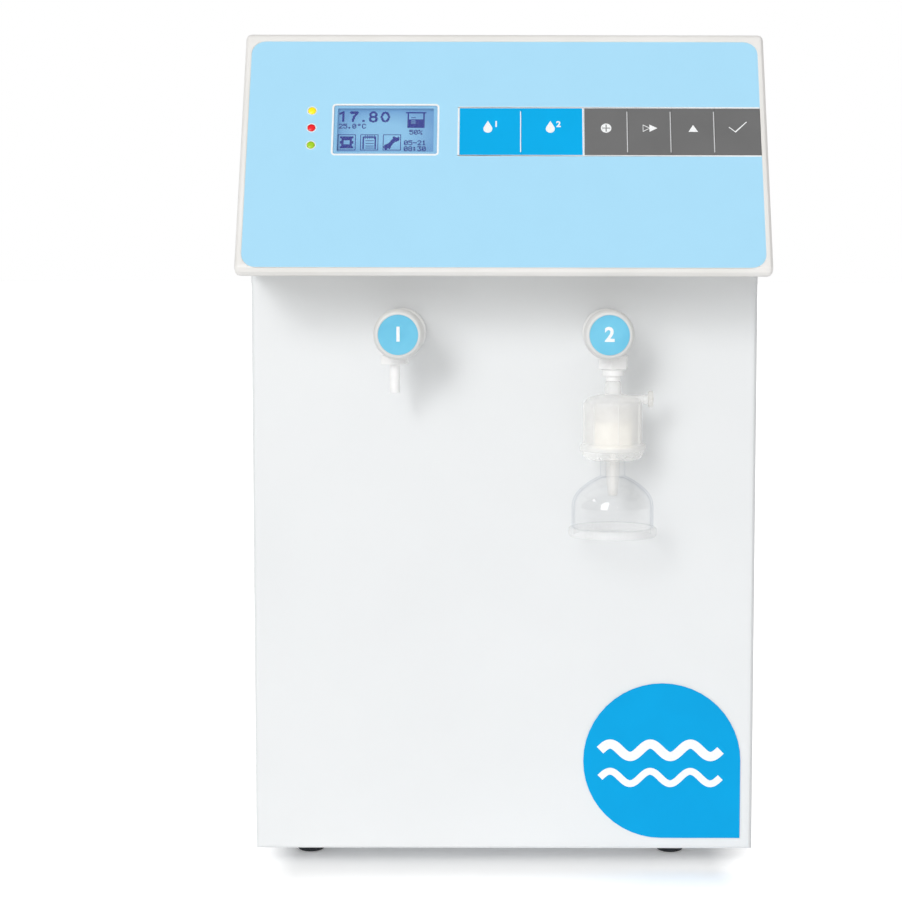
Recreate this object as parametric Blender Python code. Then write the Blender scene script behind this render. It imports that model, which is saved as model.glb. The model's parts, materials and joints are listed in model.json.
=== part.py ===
"""Deionized water purifier: a bench cabinet with a sloped control head, two outlets and a final filter.

Metres, +Z up, front towards -Y. The origin is on the bench under the middle of the overall box.
"""
import math

import bmesh
import bpy
from mathutils import Matrix, Vector

# Clearances and cuts
SEAT_GAP = 0.0003
RUN_GAP = 0.0003
OVERRUN = 0.004
ROUND_SIDES = 28
SMALL_SIDES = 16
TUBE_SIDES = 8
ARC_STEPS = 3

# Cabinet
HEIGHT = 0.550
BODY_WIDTH = 0.331
BODY_DEPTH = 0.400
SHEET = 0.0012
FOOT_HEIGHT = 0.0136
FRONT_RETURN = 0.024
FRONT_RADIUS = 0.004
REAR_RETURN = 0.014
REAR_RADIUS = 0.002
TOP_STEP = 0.001
TRAY_LIP = 0.016
TOP_LIP = 0.014
SEAM = 0.0006

# Control head
HEAD_PROUD = 0.001
HEAD_TOP_OUT = 0.0035
HEAD_LIP_OUT = 0.0805
HEAD_DROP = 0.1544
HEAD_WALL = 0.003
HEAD_TOP_RADIUS = 0.004
HEAD_LIP_RADIUS = 0.0055
HEAD_SIDE_RADIUS = 0.0035

# Overlay, window and keys, down the sloped face from its upper edge
OVERLAY_SIDE_IN = 0.0043
OVERLAY_TOP = 0.0052
OVERLAY_BOTTOM = 0.1662
OVERLAY_CORNER = 0.009
OVERLAY_FILM = 0.0005
RECESS = 0.0010
WINDOW_SIDE_IN = 0.0536
WINDOW_WIDTH = 0.0668
WINDOW_TOP = 0.0516
WINDOW_HEIGHT = 0.0360
WINDOW_CORNER = 0.0015
WINDOW_LEDGE = 0.0012
KEYS_AFTER_WINDOW = 0.0133
KEYS_TOP = 0.0540
KEYS_HEIGHT = 0.0336
KEY_EDGE_SHARES = (0, 0.2066, 0.4143, 0.5600, 0.7037, 0.8479, 1)
KEY_GAP = 0.0004
KEY_PLATE = 0.0010
KEY_STEM_RADIUS = 0.0040
KEY_TRAVEL = 0.0004
KEY_RESERVE = 0.0002
LED_SIDE_IN = 0.0402
LED_FIRST = 0.0561
LED_PITCH = 0.01235
LED_RADIUS = 0.0024
LED_PROUD = 0.0004
LED_FLANGE = 0.0005

# Control board and display behind the face
BOARD_BEHIND = 0.0080
BOARD_THICK = 0.0016
BOARD_LEFT_IN = 0.0272
BOARD_RIGHT_IN = 0.0042
BOARD_TOP = 0.0440
BOARD_HEIGHT = 0.0560
BOSS_RADIUS = 0.0030
BOSS_INSET = 0.0045
SWITCH_RADIUS = 0.0030
SWITCH_HEIGHT = 0.0040
DISPLAY_BORDER = 0.0040
DISPLAY_THICK = 0.0065
DISPLAY_CORNER = 0.0010

# Outlets
OUTLET_SIDE_IN = 0.0991
OUTLET_DROP = 0.0369
OUTLET_OUT = 0.0330
OUTLET_BARREL_RADIUS = 0.0130
OUTLET_FLANGE_RADIUS = 0.0155
OUTLET_FLANGE = 0.0040
OUTLET_LENGTH = 0.0440
OUTLET_TAIL_RADIUS = 0.0070
OUTLET_TAIL = 0.0140
BOSS_OUT_RADIUS = 0.0070
BOSS_OUT_DROP = 0.0137
BOSS_OUT_SHIFT = 0.0034
STEM_RADIUS = 0.0035
STEM_LENGTH = 0.0080
KNOB_RADIUS = 0.0161
KNOB_FACE_RADIUS = 0.0134
KNOB_LENGTH = 0.0130
LABEL_RADIUS = 0.01265
LABEL_THICK = 0.0004
NUT_FLATS = 0.0160
NUT_HEIGHT = 0.0055
SWIVEL_FLATS = 0.0176
SWIVEL_HEIGHT = 0.0083
SWIVEL_CONE = 0.0010
SWIVEL_SKIRT = 0.0034
SWIVEL_SKIRT_RADIUS = 0.0069
SWIVEL_RING = 0.0032
SWIVEL_RING_RADIUS = 0.00465
SPOUT_RADIUS = 0.00318
SPOUT_BORE = 0.0020
SPOUT_LENGTH = 0.0180

# Final filter capsule, vent cap and bell
NECK_RADIUS = 0.0052
NECK_LENGTH = 0.0085
CAPSULE_RADIUS = 0.0187
CAPSULE_WALL = 0.0020
CAPSULE_SHOULDER = 0.0061
CAPSULE_LENGTH = 0.0254
CAPSULE_RIB = 0.0008
CAPSULE_RIB_COUNT = 12
FLANGE_RADIUS = 0.0210
FLANGE_HEIGHT = 0.0046
CAPSULE_BASE_HEIGHT = 0.0053
CORE_RADIUS = 0.0120
CORE_CLEAR = 0.0030
VENT_DROP = 0.0030
VENT_STEM_RADIUS = 0.0026
VENT_REACH = 0.0225
VENT_CAP_RADIUS = 0.0053
VENT_CAP_THICK = 0.0031
BARB_RADIUS = 0.0043
BARB_TIP_RADIUS = 0.0030
BARB_LENGTH = 0.0233
BARB_BORE = 0.0018
BELL_NECK_RADIUS = 0.0079
BELL_NECK_LENGTH = 0.0102
BELL_SHOULDER_DROP = 0.0162
BELL_RADIUS = 0.0262
BELL_WALL = 0.0012
BELL_WALL_LENGTH = 0.0169
BELL_RIM_RADIUS = 0.0284
BELL_RIM_HEIGHT = 0.0056

# Drop-shaped badge
BADGE_RADIUS = 0.0522
BADGE_SIDE_IN = 0.0084
BADGE_FOOT_IN = 0.0082
BADGE_THICK = 0.0004

# Feet
FOOT_RADIUS = 0.0100
FOOT_SOLE_RADIUS = 0.0065
FOOT_DOME = 0.0040
FOOT_LEFT_IN = 0.0323
FOOT_RIGHT_IN = 0.0513
FOOT_FRONT_IN = 0.0500
FOOT_REAR_IN = 0.0500

# Side door
DOOR_FLANGE = 0.0080
DOOR_PIN_RADIUS = 0.0015
DOOR_PIN_IN = 0.0030
DOOR_TAIL = 0.0020
DOOR_SWEEP = 0.0019
DOOR_OPEN_CLEAR = 0.0010
PULL_WIDTH = 0.0200
PULL_HEIGHT = 0.0700
PULL_DEPTH = 0.0090
PULL_WALL = 0.0015
PULL_RIM = 0.0025
PULL_FROM_EDGE = 0.0300
PULL_DROP = 0.2600
CATCH_SIZE = 0.0140
CATCH_DROP = 0.2600

# Rear panel fittings
PORT_OUT = 0.0200
PORT_RADIUS = 0.0085
PORT_BORE = 0.0033
PORT_FLANGE_RADIUS = 0.0110
PORT_FLANGE = 0.0030
PORT_TAIL_RADIUS = 0.0065
PORT_TAIL = 0.0130
PORT_FIRST_IN = 0.1355
PORT_PITCH = 0.0350
PORT_Z = 0.0700
INLET_SIDE_IN = 0.0655
INLET_Z = 0.1100
INLET_WIDTH = 0.0480
INLET_HEIGHT = 0.0500
INLET_RIM = 0.0040
INLET_RIM_THICK = 0.0025
INLET_DEPTH = 0.0280
SOCKET_WIDTH = 0.0270
SOCKET_HEIGHT = 0.0190
SOCKET_DEPTH = 0.0180
SOCKET_DROP = 0.0110
PIN_WIDTH = 0.0020
PIN_HEIGHT = 0.0040
PIN_LENGTH = 0.0130
PIN_SPREAD = 0.0070
ROCKER_RISE = 0.0145
ROCKER_WIDTH = 0.0220
ROCKER_HEIGHT = 0.0130
ROCKER_POCKET = 0.0080
ROCKER_TILT_DEG = 10.0
VENT_SLOTS = 7
SLOT_LENGTH = 0.0700
SLOT_WIDTH = 0.0028
SLOT_PITCH = 0.0110
SLOT_REAR_IN = 0.0600
SLOT_DROP = 0.1200

# Machinery inside the cabinet
CARTRIDGE_RADIUS = 0.0300
CARTRIDGE_DROP = 0.0393
CARTRIDGE_CAP = 0.0180
CARTRIDGE_CAP_PROUD = 0.0015
CARTRIDGE_STUB_RADIUS = 0.0060
CARTRIDGE_STUB = 0.0120
CARTRIDGE_PITCH = 0.0900
CARTRIDGE_FRONT_IN = 0.0800
CARTRIDGE_SIDE_IN = 0.0535
RACK_PLATE = 0.0020
RACK_FOOT = 0.0120
RACK_SHELF_DROP = 0.0843
MEMBRANE_RADIUS = 0.0290
MEMBRANE_DROP = 0.0216
MEMBRANE_TO_CARTRIDGE = 0.1470
MEMBRANE_REAR_IN = 0.0500
PUMP_RADIUS = 0.0320
PUMP_LENGTH = 0.0900
PUMP_SIDE_IN = 0.0655
PUMP_FRONT_IN = 0.1100
PUMP_BASE_WIDTH = 0.0500
PUMP_BASE_HEIGHT = 0.0100
PUMP_HEAD_LENGTH = 0.0380
PUMP_HEAD_SIZE = 0.0600
SUPPLY_THICK = 0.0480
SUPPLY_LENGTH = 0.1500
SUPPLY_HEIGHT = 0.1000
SUPPLY_Z = 0.2000
SUPPLY_REAR_IN = 0.0500
VALVE_WIDTH = 0.0280
VALVE_LENGTH = 0.0360
VALVE_HEIGHT = 0.0240
COIL_RADIUS = 0.0110
COIL_HEIGHT = 0.0200
VALVE_STUB = 0.0080
TUBE_RADIUS = 0.00318

# Screw holes
SCREW_HOLE = 0.0022
SCREW_INSET = 0.0070

# Worked out from the sizes above
HALF_WIDTH = BODY_WIDTH / 2
HEAD_HALF_WIDTH = HALF_WIDTH + HEAD_PROUD
HEAD_BOTTOM = HEIGHT - HEAD_DROP
OVERLAY_HALF_WIDTH = HEAD_HALF_WIDTH - OVERLAY_SIDE_IN
WINDOW_X = WINDOW_SIDE_IN + WINDOW_WIDTH / 2 - OVERLAY_HALF_WIDTH
KEYS_LEFT = WINDOW_X + WINDOW_WIDTH / 2 + KEYS_AFTER_WINDOW
LED_X = LED_SIDE_IN - OVERLAY_HALF_WIDTH
BOARD_LEFT = BOARD_LEFT_IN - OVERLAY_HALF_WIDTH
BOARD_RIGHT = OVERLAY_HALF_WIDTH - BOARD_RIGHT_IN
OUTLET_X = HALF_WIDTH - OUTLET_SIDE_IN
FITTING_X = OUTLET_X + BOSS_OUT_SHIFT
OUTLET_Z = HEAD_BOTTOM - OUTLET_DROP
SLOPE = math.atan2(HEAD_LIP_OUT - HEAD_TOP_OUT, HEAD_DROP)
FACE_DOWN = Vector((0, -math.sin(SLOPE), -math.cos(SLOPE)))
FACE_OUT = Vector((0, -math.cos(SLOPE), math.sin(SLOPE)))


def face_y(z, inset):
    """How far behind the body's front the sloped face is at height z, moved inwards by inset."""
    return -HEAD_TOP_OUT - math.tan(SLOPE) * (HEIGHT - z) + inset / math.cos(SLOPE)


def rounded(points, radii, steps=ARC_STEPS):
    """A closed outline with each corner of points rounded by its radius."""
    outline = []
    for i, corner in enumerate(points):
        corner = Vector(corner)
        back = (Vector(points[i - 1]) - corner).normalized()
        ahead = (Vector(points[(i + 1) % len(points)]) - corner).normalized()
        radius = radii[i]
        if radius <= 0:
            outline.append(tuple(corner))
            continue
        half = back.angle(ahead) / 2
        centre = corner + (back + ahead).normalized() * (radius / math.sin(half))
        start = corner + back * (radius / math.tan(half)) - centre
        turn = math.pi - 2 * half
        if back.cross(ahead) > 0:
            turn = -turn
        for k in range(steps + 1):
            a = turn * k / steps
            c, s = math.cos(a), math.sin(a)
            outline.append((centre.x + start.x * c - start.y * s, centre.y + start.x * s + start.y * c))
    return outline


def head_profile(inset, rear):
    """The head's side outline as (y from the body's front, z), moved inwards by inset."""
    top = HEIGHT - inset
    bottom = HEAD_BOTTOM + inset
    corners = [(rear, top), (face_y(top, inset), top), (face_y(bottom, inset), bottom), (rear, bottom)]
    least = HEAD_WALL / ARC_STEPS
    radii = [0, max(HEAD_TOP_RADIUS - inset, least), max(HEAD_LIP_RADIUS - inset, least), 0]
    return rounded(corners, radii, ARC_STEPS + 1)


HEAD_REACH = -min(y for y, z in head_profile(0, FRONT_RETURN))
FRONT_Y = (HEAD_REACH - BODY_DEPTH - PORT_OUT) / 2
REAR_Y = FRONT_Y + BODY_DEPTH
FACE_TOP = Vector((0, FRONT_Y - HEAD_TOP_OUT, HEIGHT))
FRAME_Y = FRONT_Y + FRONT_RETURN
FLOOR_Z = FOOT_HEIGHT + SHEET
COVER_Z = HEIGHT - TOP_STEP
INNER_TOP = COVER_Z - SHEET
BADGE_X = HALF_WIDTH - BADGE_SIDE_IN - BADGE_RADIUS
BADGE_Z = FOOT_HEIGHT + BADGE_FOOT_IN + BADGE_RADIUS
PULL_Z = HEIGHT - PULL_DROP
CATCH_Z = HEIGHT - CATCH_DROP
SLOT_Z = HEIGHT - SLOT_DROP
INLET_X = INLET_SIDE_IN - HALF_WIDTH
CARTRIDGE_X = HALF_WIDTH - CARTRIDGE_SIDE_IN
MEMBRANE_X = CARTRIDGE_X - MEMBRANE_TO_CARTRIDGE
PUMP_X = PUMP_SIDE_IN - HALF_WIDTH
FACE_FRAME = Matrix.Translation(FACE_TOP) @ Matrix(
    ((1, 0, 0, 0), (0, -FACE_DOWN.y, FACE_OUT.y, 0), (0, -FACE_DOWN.z, FACE_OUT.z, 0), (0, 0, 0, 1))
)


# Shared ways of making solids
def clear_scene():
    for obj in list(bpy.data.objects):
        bpy.data.objects.remove(obj)


def paint(name, colour, roughness, metallic=0.0, alpha=1.0):
    """A plain Principled material with the piece's colour."""
    material = bpy.data.materials.get(name) or bpy.data.materials.new(name)
    material.use_nodes = True
    shader = material.node_tree.nodes["Principled BSDF"]
    shader.inputs["Base Color"].default_value = (*colour, 1)
    shader.inputs["Roughness"].default_value = roughness
    shader.inputs["Metallic"].default_value = metallic
    shader.inputs["Alpha"].default_value = alpha
    return material


def place(name, bm, material, origin=(0, 0, 0), smooth=True):
    """Turns bm, drawn in world places, into an object whose origin is at the given point."""
    bmesh.ops.remove_doubles(bm, verts=bm.verts, dist=1e-7)
    bmesh.ops.recalc_face_normals(bm, faces=bm.faces)
    mesh = bpy.data.meshes.new(name)
    bm.to_mesh(mesh)
    bm.free()
    mesh.transform(Matrix.Translation(-Vector(origin)))
    if smooth:
        mesh.shade_smooth()
        mesh.set_sharp_from_angle(angle=math.radians(35))
    obj = bpy.data.objects.new(name, mesh)
    obj.location = origin
    bpy.context.scene.collection.objects.link(obj)
    if material is not None:
        mesh.materials.append(material)
    return obj


def add_block(bm, low, high, matrix=None):
    """Adds a box between two corners and returns its vertices."""
    made = bmesh.ops.create_cube(bm, size=1)["verts"]
    low, high = Vector(low), Vector(high)
    size = high - low
    for v in made:
        v.co = Vector((low[i] + size[i] * (v.co[i] + 0.5) for i in range(3)))
    if matrix is not None:
        bmesh.ops.transform(bm, matrix=matrix, verts=made)
    return made


def add_prism(bm, outline, low, high, matrix=None):
    """Adds an outline in XY, extruded from low to high along Z, and returns its vertices."""
    bottom = [bm.verts.new((x, y, low)) for x, y in outline]
    top = [bm.verts.new((x, y, high)) for x, y in outline]
    count = len(outline)
    bm.faces.new(list(reversed(bottom)))
    bm.faces.new(top)
    for i in range(count):
        j = (i + 1) % count
        bm.faces.new((bottom[i], bottom[j], top[j], top[i]))
    if matrix is not None:
        bmesh.ops.transform(bm, matrix=matrix, verts=bottom + top)
    return bottom + top


def add_turned(bm, profile, matrix, sides=ROUND_SIDES, closed=False):
    """Adds (radius, height) points turned about Z. A closed profile is a ring with a bore."""
    rings = []
    made = []
    for radius, height in profile:
        if radius <= 0:
            ring = [bm.verts.new((0, 0, height))]
        else:
            angles = [2 * math.pi * k / sides for k in range(sides)]
            ring = [bm.verts.new((radius * math.cos(a), radius * math.sin(a), height)) for a in angles]
        rings.append(ring)
        made += ring
    last = len(rings) if closed else len(rings) - 1
    for i in range(last):
        lower, upper = rings[i], rings[(i + 1) % len(rings)]
        for k in range(sides):
            n = (k + 1) % sides
            if len(lower) == 1 and len(upper) == 1:
                break
            if len(lower) == 1:
                bm.faces.new((lower[0], upper[n], upper[k]))
            elif len(upper) == 1:
                bm.faces.new((lower[k], lower[n], upper[0]))
            else:
                bm.faces.new((lower[k], lower[n], upper[n], upper[k]))
    bmesh.ops.transform(bm, matrix=matrix, verts=made)
    return made


def at(x, y, z):
    return Matrix.Translation((x, y, z))


def towards_front(x, y, z):
    """Local +Z points to the front, -Y."""
    return at(x, y, z) @ Matrix.Rotation(math.pi / 2, 4, "X")


def towards_rear(x, y, z):
    """Local +Z points to the rear, +Y."""
    return at(x, y, z) @ Matrix.Rotation(-math.pi / 2, 4, "X")


def towards_right(x, y, z):
    """Local +Z points to the right, +X."""
    return at(x, y, z) @ Matrix.Rotation(math.pi / 2, 4, "Y")


def turned(name, profile, matrix, material, sides=ROUND_SIDES, closed=False, origin=(0, 0, 0)):
    bm = bmesh.new()
    add_turned(bm, profile, matrix, sides, closed)
    return place(name, bm, material, origin)


def hexagon(flats):
    """A hexagon's corners, with a corner towards the front."""
    radius = flats / math.sqrt(3)
    angles = [math.radians(60 * k + 20) for k in range(6)]
    return [(radius * math.cos(a), radius * math.sin(a)) for a in angles]


def rectangle(x0, x1, y0, y1, radius=0.0):
    corners = [(x0, y0), (x1, y0), (x1, y1), (x0, y1)]
    return rounded(corners, [radius] * 4)


def combine(target, bm, operation, name):
    """Cuts bm from the target, or joins it on, with a live Boolean whose second shape stays hidden."""
    tool = place(name, bm, None, smooth=False)
    tool.hide_render = True
    tool.display_type = "WIRE"
    step = target.modifiers.new(name, "BOOLEAN")
    step.operation = operation
    step.solver = "EXACT"
    step.object = tool
    return target


def cut(target, bm, name):
    return combine(target, bm, "DIFFERENCE", name)


def join(target, bm, name):
    return combine(target, bm, "UNION", name)


def add_soft_block(bm, low, high, radius, chosen):
    """A box whose chosen edges are rounded. chosen(middle of the edge) says which."""
    made = add_block(bm, low, high)
    edges = {e for v in made for e in v.link_edges if chosen((e.verts[0].co + e.verts[1].co) / 2)}
    bmesh.ops.bevel(bm, geom=list(edges), offset=radius, segments=ARC_STEPS, affect="EDGES", profile=0.5)


def tray(name, low, high, radius, chosen, open_side, material):
    """A folded sheet tray: a box open on one side, with walls of one sheet."""
    low, high = Vector(low), Vector(high)
    outer = bmesh.new()
    add_soft_block(outer, low, high, radius, chosen(low, high))
    obj = place(name, outer, material)
    wall = Vector((SHEET, SHEET, SHEET))
    inner_low, inner_high = low + wall, high - wall
    axis, end = open_side
    if end > 0:
        inner_high[axis] = high[axis] + OVERRUN
    else:
        inner_low[axis] = low[axis] - OVERRUN
    inner = bmesh.new()
    add_soft_block(inner, inner_low, inner_high, max(radius - SHEET, SHEET / ARC_STEPS),
                   chosen(inner_low, inner_high))
    return cut(obj, inner, name + "_hollow")


# Materials
def powder_white():
    return paint("powder_coated_steel_white", (0.84, 0.86, 0.87), 0.5)


def moulded_white():
    return paint("moulded_abs_white", (0.83, 0.83, 0.81), 0.38)


def fitting_white():
    return paint("acetal_white", (0.87, 0.87, 0.85), 0.35)


def overlay_blue():
    return paint("printed_film_pale_blue", (0.41, 0.73, 0.94), 0.35)


def key_blue():
    return paint("printed_film_bright_blue", (0.0, 0.42, 0.86), 0.35)


def key_grey():
    return paint("printed_film_grey", (0.16, 0.16, 0.16), 0.4)


def label_blue():
    return paint("label_sky_blue", (0.17, 0.6, 0.82), 0.3)


def badge_blue():
    return paint("vinyl_blue", (0.0, 0.39, 0.8), 0.4)


def clear_plastic():
    return paint("clear_polycarbonate", (0.95, 0.97, 0.98), 0.05, 0.0, 0.3)


def milky_plastic():
    return paint("natural_polypropylene", (0.86, 0.87, 0.85), 0.3, 0.0, 0.6)


def black_rubber():
    return paint("black_rubber", (0.02, 0.025, 0.03), 0.8)


def black_plastic():
    return paint("black_nylon", (0.02, 0.02, 0.02), 0.45)


def bright_steel():
    return paint("zinc_plated_steel", (0.6, 0.6, 0.6), 0.3, 1.0)


# Casing
def front_panel():
    """Folded steel front: its sides and foot fold back, and its upper edge folds under the head."""
    low = (-HALF_WIDTH, FRONT_Y, FOOT_HEIGHT)
    high = (HALF_WIDTH, FRAME_Y, HEAD_BOTTOM - SEAT_GAP)

    def chosen(a, b):
        front, top = a[1], b[2]
        return lambda p: p.y < front + OVERRUN and p.z < top - OVERRUN

    panel = tray("front_panel", low, high, FRONT_RADIUS, chosen, (1, 1), powder_white())
    holes = bmesh.new()
    for x in (-OUTLET_X, OUTLET_X):
        radius = OUTLET_TAIL_RADIUS + RUN_GAP
        profile = [(0, -OVERRUN), (radius, -OVERRUN), (radius, SHEET + OVERRUN), (0, SHEET + OVERRUN)]
        add_turned(holes, profile, towards_rear(x, FRONT_Y, OUTLET_Z), SMALL_SIDES)
    return cut(panel, holes, "front_panel_holes")


def base_tray():
    """Folded steel floor with upturned edges, on which everything inside stands."""
    low = (-HALF_WIDTH + SHEET + SEAT_GAP, FRAME_Y + SEAM, FOOT_HEIGHT)
    right = HALF_WIDTH - SHEET - DOOR_FLANGE - SEAT_GAP * 2
    high = (right, REAR_Y - REAR_RETURN - SEAM, FOOT_HEIGHT + TRAY_LIP)

    def chosen(a, b):
        return lambda p: False

    floor = tray("base_tray", low, high, SHEET, chosen, (2, 1), bright_steel())
    sill = bmesh.new()
    pivot = door_pivot()
    add_block(sill, (high[0] - SHEET, low[1], FOOT_HEIGHT),
              (HALF_WIDTH - SHEET - SEAT_GAP, high[1], FLOOR_Z))
    join(floor, sill, "base_tray_sill")
    pin = bmesh.new()
    top = FLOOR_Z + SEAT_GAP + SHEET + SEAT_GAP
    profile = [(0, FOOT_HEIGHT + SHEET / 2), (DOOR_PIN_RADIUS, FOOT_HEIGHT + SHEET / 2),
               (DOOR_PIN_RADIUS, top), (0, top)]
    add_turned(pin, profile, at(pivot.x, pivot.y, 0), SMALL_SIDES)
    return join(floor, pin, "base_tray_pin")


def top_cover():
    """Folded steel lid behind the head, with its edges turned down inside the sides."""
    low = (-HALF_WIDTH, FRAME_Y + SEAM, INNER_TOP)
    high = (HALF_WIDTH, REAR_Y - REAR_RADIUS, COVER_Z)
    bm = bmesh.new()
    add_block(bm, low, high)
    cover = place("top_cover", bm, powder_white())
    lip = bmesh.new()
    inner = HALF_WIDTH - SHEET - DOOR_FLANGE - SEAT_GAP * 2
    rear = REAR_Y - REAR_RETURN - SEAM
    bottom = COVER_Z - TOP_LIP
    left = -HALF_WIDTH + SHEET + SEAT_GAP
    add_block(lip, (left, low[1], bottom), (left + SHEET, rear, INNER_TOP + SHEET / 2))
    add_block(lip, (inner - SHEET, low[1], bottom), (inner, rear, INNER_TOP + SHEET / 2))
    join(cover, lip, "top_cover_lips")
    pin = bmesh.new()
    pivot = door_pivot()
    foot = INNER_TOP - SEAT_GAP - SHEET - SEAT_GAP
    profile = [(0, foot), (DOOR_PIN_RADIUS, foot), (DOOR_PIN_RADIUS, INNER_TOP + SHEET / 2),
               (0, INNER_TOP + SHEET / 2)]
    add_turned(pin, profile, at(pivot.x, pivot.y, 0), SMALL_SIDES)
    return join(cover, pin, "top_cover_pin")


def left_panel():
    """Flat steel side with a stack of cooling slots."""
    bm = bmesh.new()
    front, rear = FRAME_Y + SEAM, REAR_Y - REAR_RETURN - SEAM
    add_block(bm, (-HALF_WIDTH, front, FOOT_HEIGHT), (-HALF_WIDTH + SHEET, rear, INNER_TOP - SEAT_GAP))
    panel = place("left_panel", bm, powder_white())
    slots = bmesh.new()
    start = REAR_Y - SLOT_REAR_IN - SLOT_LENGTH
    for k in range(VENT_SLOTS):
        z = SLOT_Z - k * SLOT_PITCH
        add_block(slots, (-HALF_WIDTH - OVERRUN, start, z),
                  (-HALF_WIDTH + SHEET + OVERRUN, start + SLOT_LENGTH, z + SLOT_WIDTH))
    return cut(panel, slots, "left_panel_slots")


def screw_places():
    """Centres of the rear panel's screw holes, as (x, z), in two columns."""
    x = HALF_WIDTH - REAR_RADIUS - SCREW_INSET
    low = FLOOR_Z + SCREW_INSET
    high = INNER_TOP - SCREW_INSET
    return [(side * x, low + (high - low) * k / 2) for side in (-1, 1) for k in range(3)]


def port_places():
    """Centres of the drain and feed ports, as x."""
    first = HALF_WIDTH - PORT_FIRST_IN
    return first, first + PORT_PITCH


def rear_panel():
    """Folded steel back with openings for the mains inlet, the tube ports and its screws."""
    low = (-HALF_WIDTH, REAR_Y - REAR_RETURN, FOOT_HEIGHT)
    high = (HALF_WIDTH, REAR_Y, INNER_TOP - SEAT_GAP)

    def chosen(a, b):
        rear = b[1]
        return lambda p: p.y > rear - REAR_RADIUS and abs(p.x) > HALF_WIDTH / 2

    panel = tray("rear_panel", low, high, REAR_RADIUS, chosen, (1, -1), powder_white())
    holes = bmesh.new()
    radius = PORT_TAIL_RADIUS + RUN_GAP
    profile = [(0, -OVERRUN), (radius, -OVERRUN), (radius, SHEET + OVERRUN), (0, SHEET + OVERRUN)]
    for x in port_places():
        add_turned(holes, profile, towards_front(x, REAR_Y, PORT_Z), SMALL_SIDES)
    small = [(0, -OVERRUN), (SCREW_HOLE, -OVERRUN), (SCREW_HOLE, SHEET + OVERRUN), (0, SHEET + OVERRUN)]
    for x, z in screw_places():
        add_turned(holes, small, towards_front(x, REAR_Y, z), TUBE_SIDES)
    half_w, half_h = INLET_WIDTH / 2 + SEAT_GAP, INLET_HEIGHT / 2 + SEAT_GAP
    add_block(holes, (INLET_X - half_w, REAR_Y - SHEET - OVERRUN, INLET_Z - half_h),
              (INLET_X + half_w, REAR_Y + OVERRUN, INLET_Z + half_h))
    return cut(panel, holes, "rear_panel_holes")



def feet():
    """Four turned rubber feet under the floor."""
    names = ("foot_front_left", "foot_front_right", "foot_rear_left", "foot_rear_right")
    ys = (FRONT_Y + FOOT_FRONT_IN, FRONT_Y + FOOT_FRONT_IN, REAR_Y - FOOT_REAR_IN, REAR_Y - FOOT_REAR_IN)
    xs = (FOOT_LEFT_IN - HALF_WIDTH, HALF_WIDTH - FOOT_RIGHT_IN) * 2
    top = FOOT_HEIGHT - SEAT_GAP
    profile = [(0, 0), (FOOT_SOLE_RADIUS, 0)]
    for k in range(1, ARC_STEPS + 1):
        a = math.pi / 2 * k / ARC_STEPS
        swell = FOOT_RADIUS - FOOT_SOLE_RADIUS
        profile.append((FOOT_SOLE_RADIUS + swell * math.sin(a), FOOT_DOME * (1 - math.cos(a))))
    profile += [(FOOT_RADIUS, top), (0, top)]
    for name, x, y in zip(names, xs, ys):
        turned(name, profile, at(x, y, 0), black_rubber(), SMALL_SIDES)


# Side door
def door_pivot():
    """Where the door's upright axis is."""
    return Vector((HALF_WIDTH - DOOR_PIN_IN, REAR_Y - REAR_RETURN - DOOR_SWEEP - DOOR_TAIL, 0))


def side_door():
    """Folded steel service door on the right, hung on two pins at its rear edge."""
    pivot = door_pivot()
    front, rear = FRAME_Y + DOOR_OPEN_CLEAR, pivot.y + DOOR_TAIL
    bottom, top = FLOOR_Z + SEAT_GAP, INNER_TOP - SEAT_GAP
    outer, inner = HALF_WIDTH, HALF_WIDTH - SHEET - DOOR_FLANGE
    bm = bmesh.new()
    add_block(bm, (outer - SHEET, front, bottom), (outer, rear, top))
    door = place("side_door", bm, powder_white(), pivot)
    fold = bmesh.new()
    deep = outer - SHEET / 2
    add_block(fold, (inner, front, bottom), (deep, front + SHEET, top))
    join(door, fold, "side_door_front_fold")
    ends = bmesh.new()
    rear_end = pivot.y + DOOR_PIN_RADIUS + SHEET / 3
    add_block(ends, (inner, front + SHEET / 2, bottom), (deep, rear_end, bottom + SHEET))
    add_block(ends, (inner, front + SHEET / 2, top - SHEET), (deep, rear_end, top))
    join(door, ends, "side_door_end_folds")
    holes = bmesh.new()
    radius = DOOR_PIN_RADIUS + RUN_GAP
    for low, high in ((bottom - OVERRUN, bottom + SHEET + OVERRUN), (top - SHEET - OVERRUN, top + OVERRUN)):
        pin = [(0, low), (radius, low), (radius, high), (0, high)]
        add_turned(holes, pin, at(pivot.x, pivot.y, 0), SMALL_SIDES)
    half_h = PULL_HEIGHT / 2
    y = front + PULL_FROM_EDGE
    add_block(holes, (outer - SHEET - OVERRUN, y, PULL_Z - half_h),
              (outer + OVERRUN, y + PULL_WIDTH, PULL_Z + half_h))
    return cut(door, holes, "side_door_holes")


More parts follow.
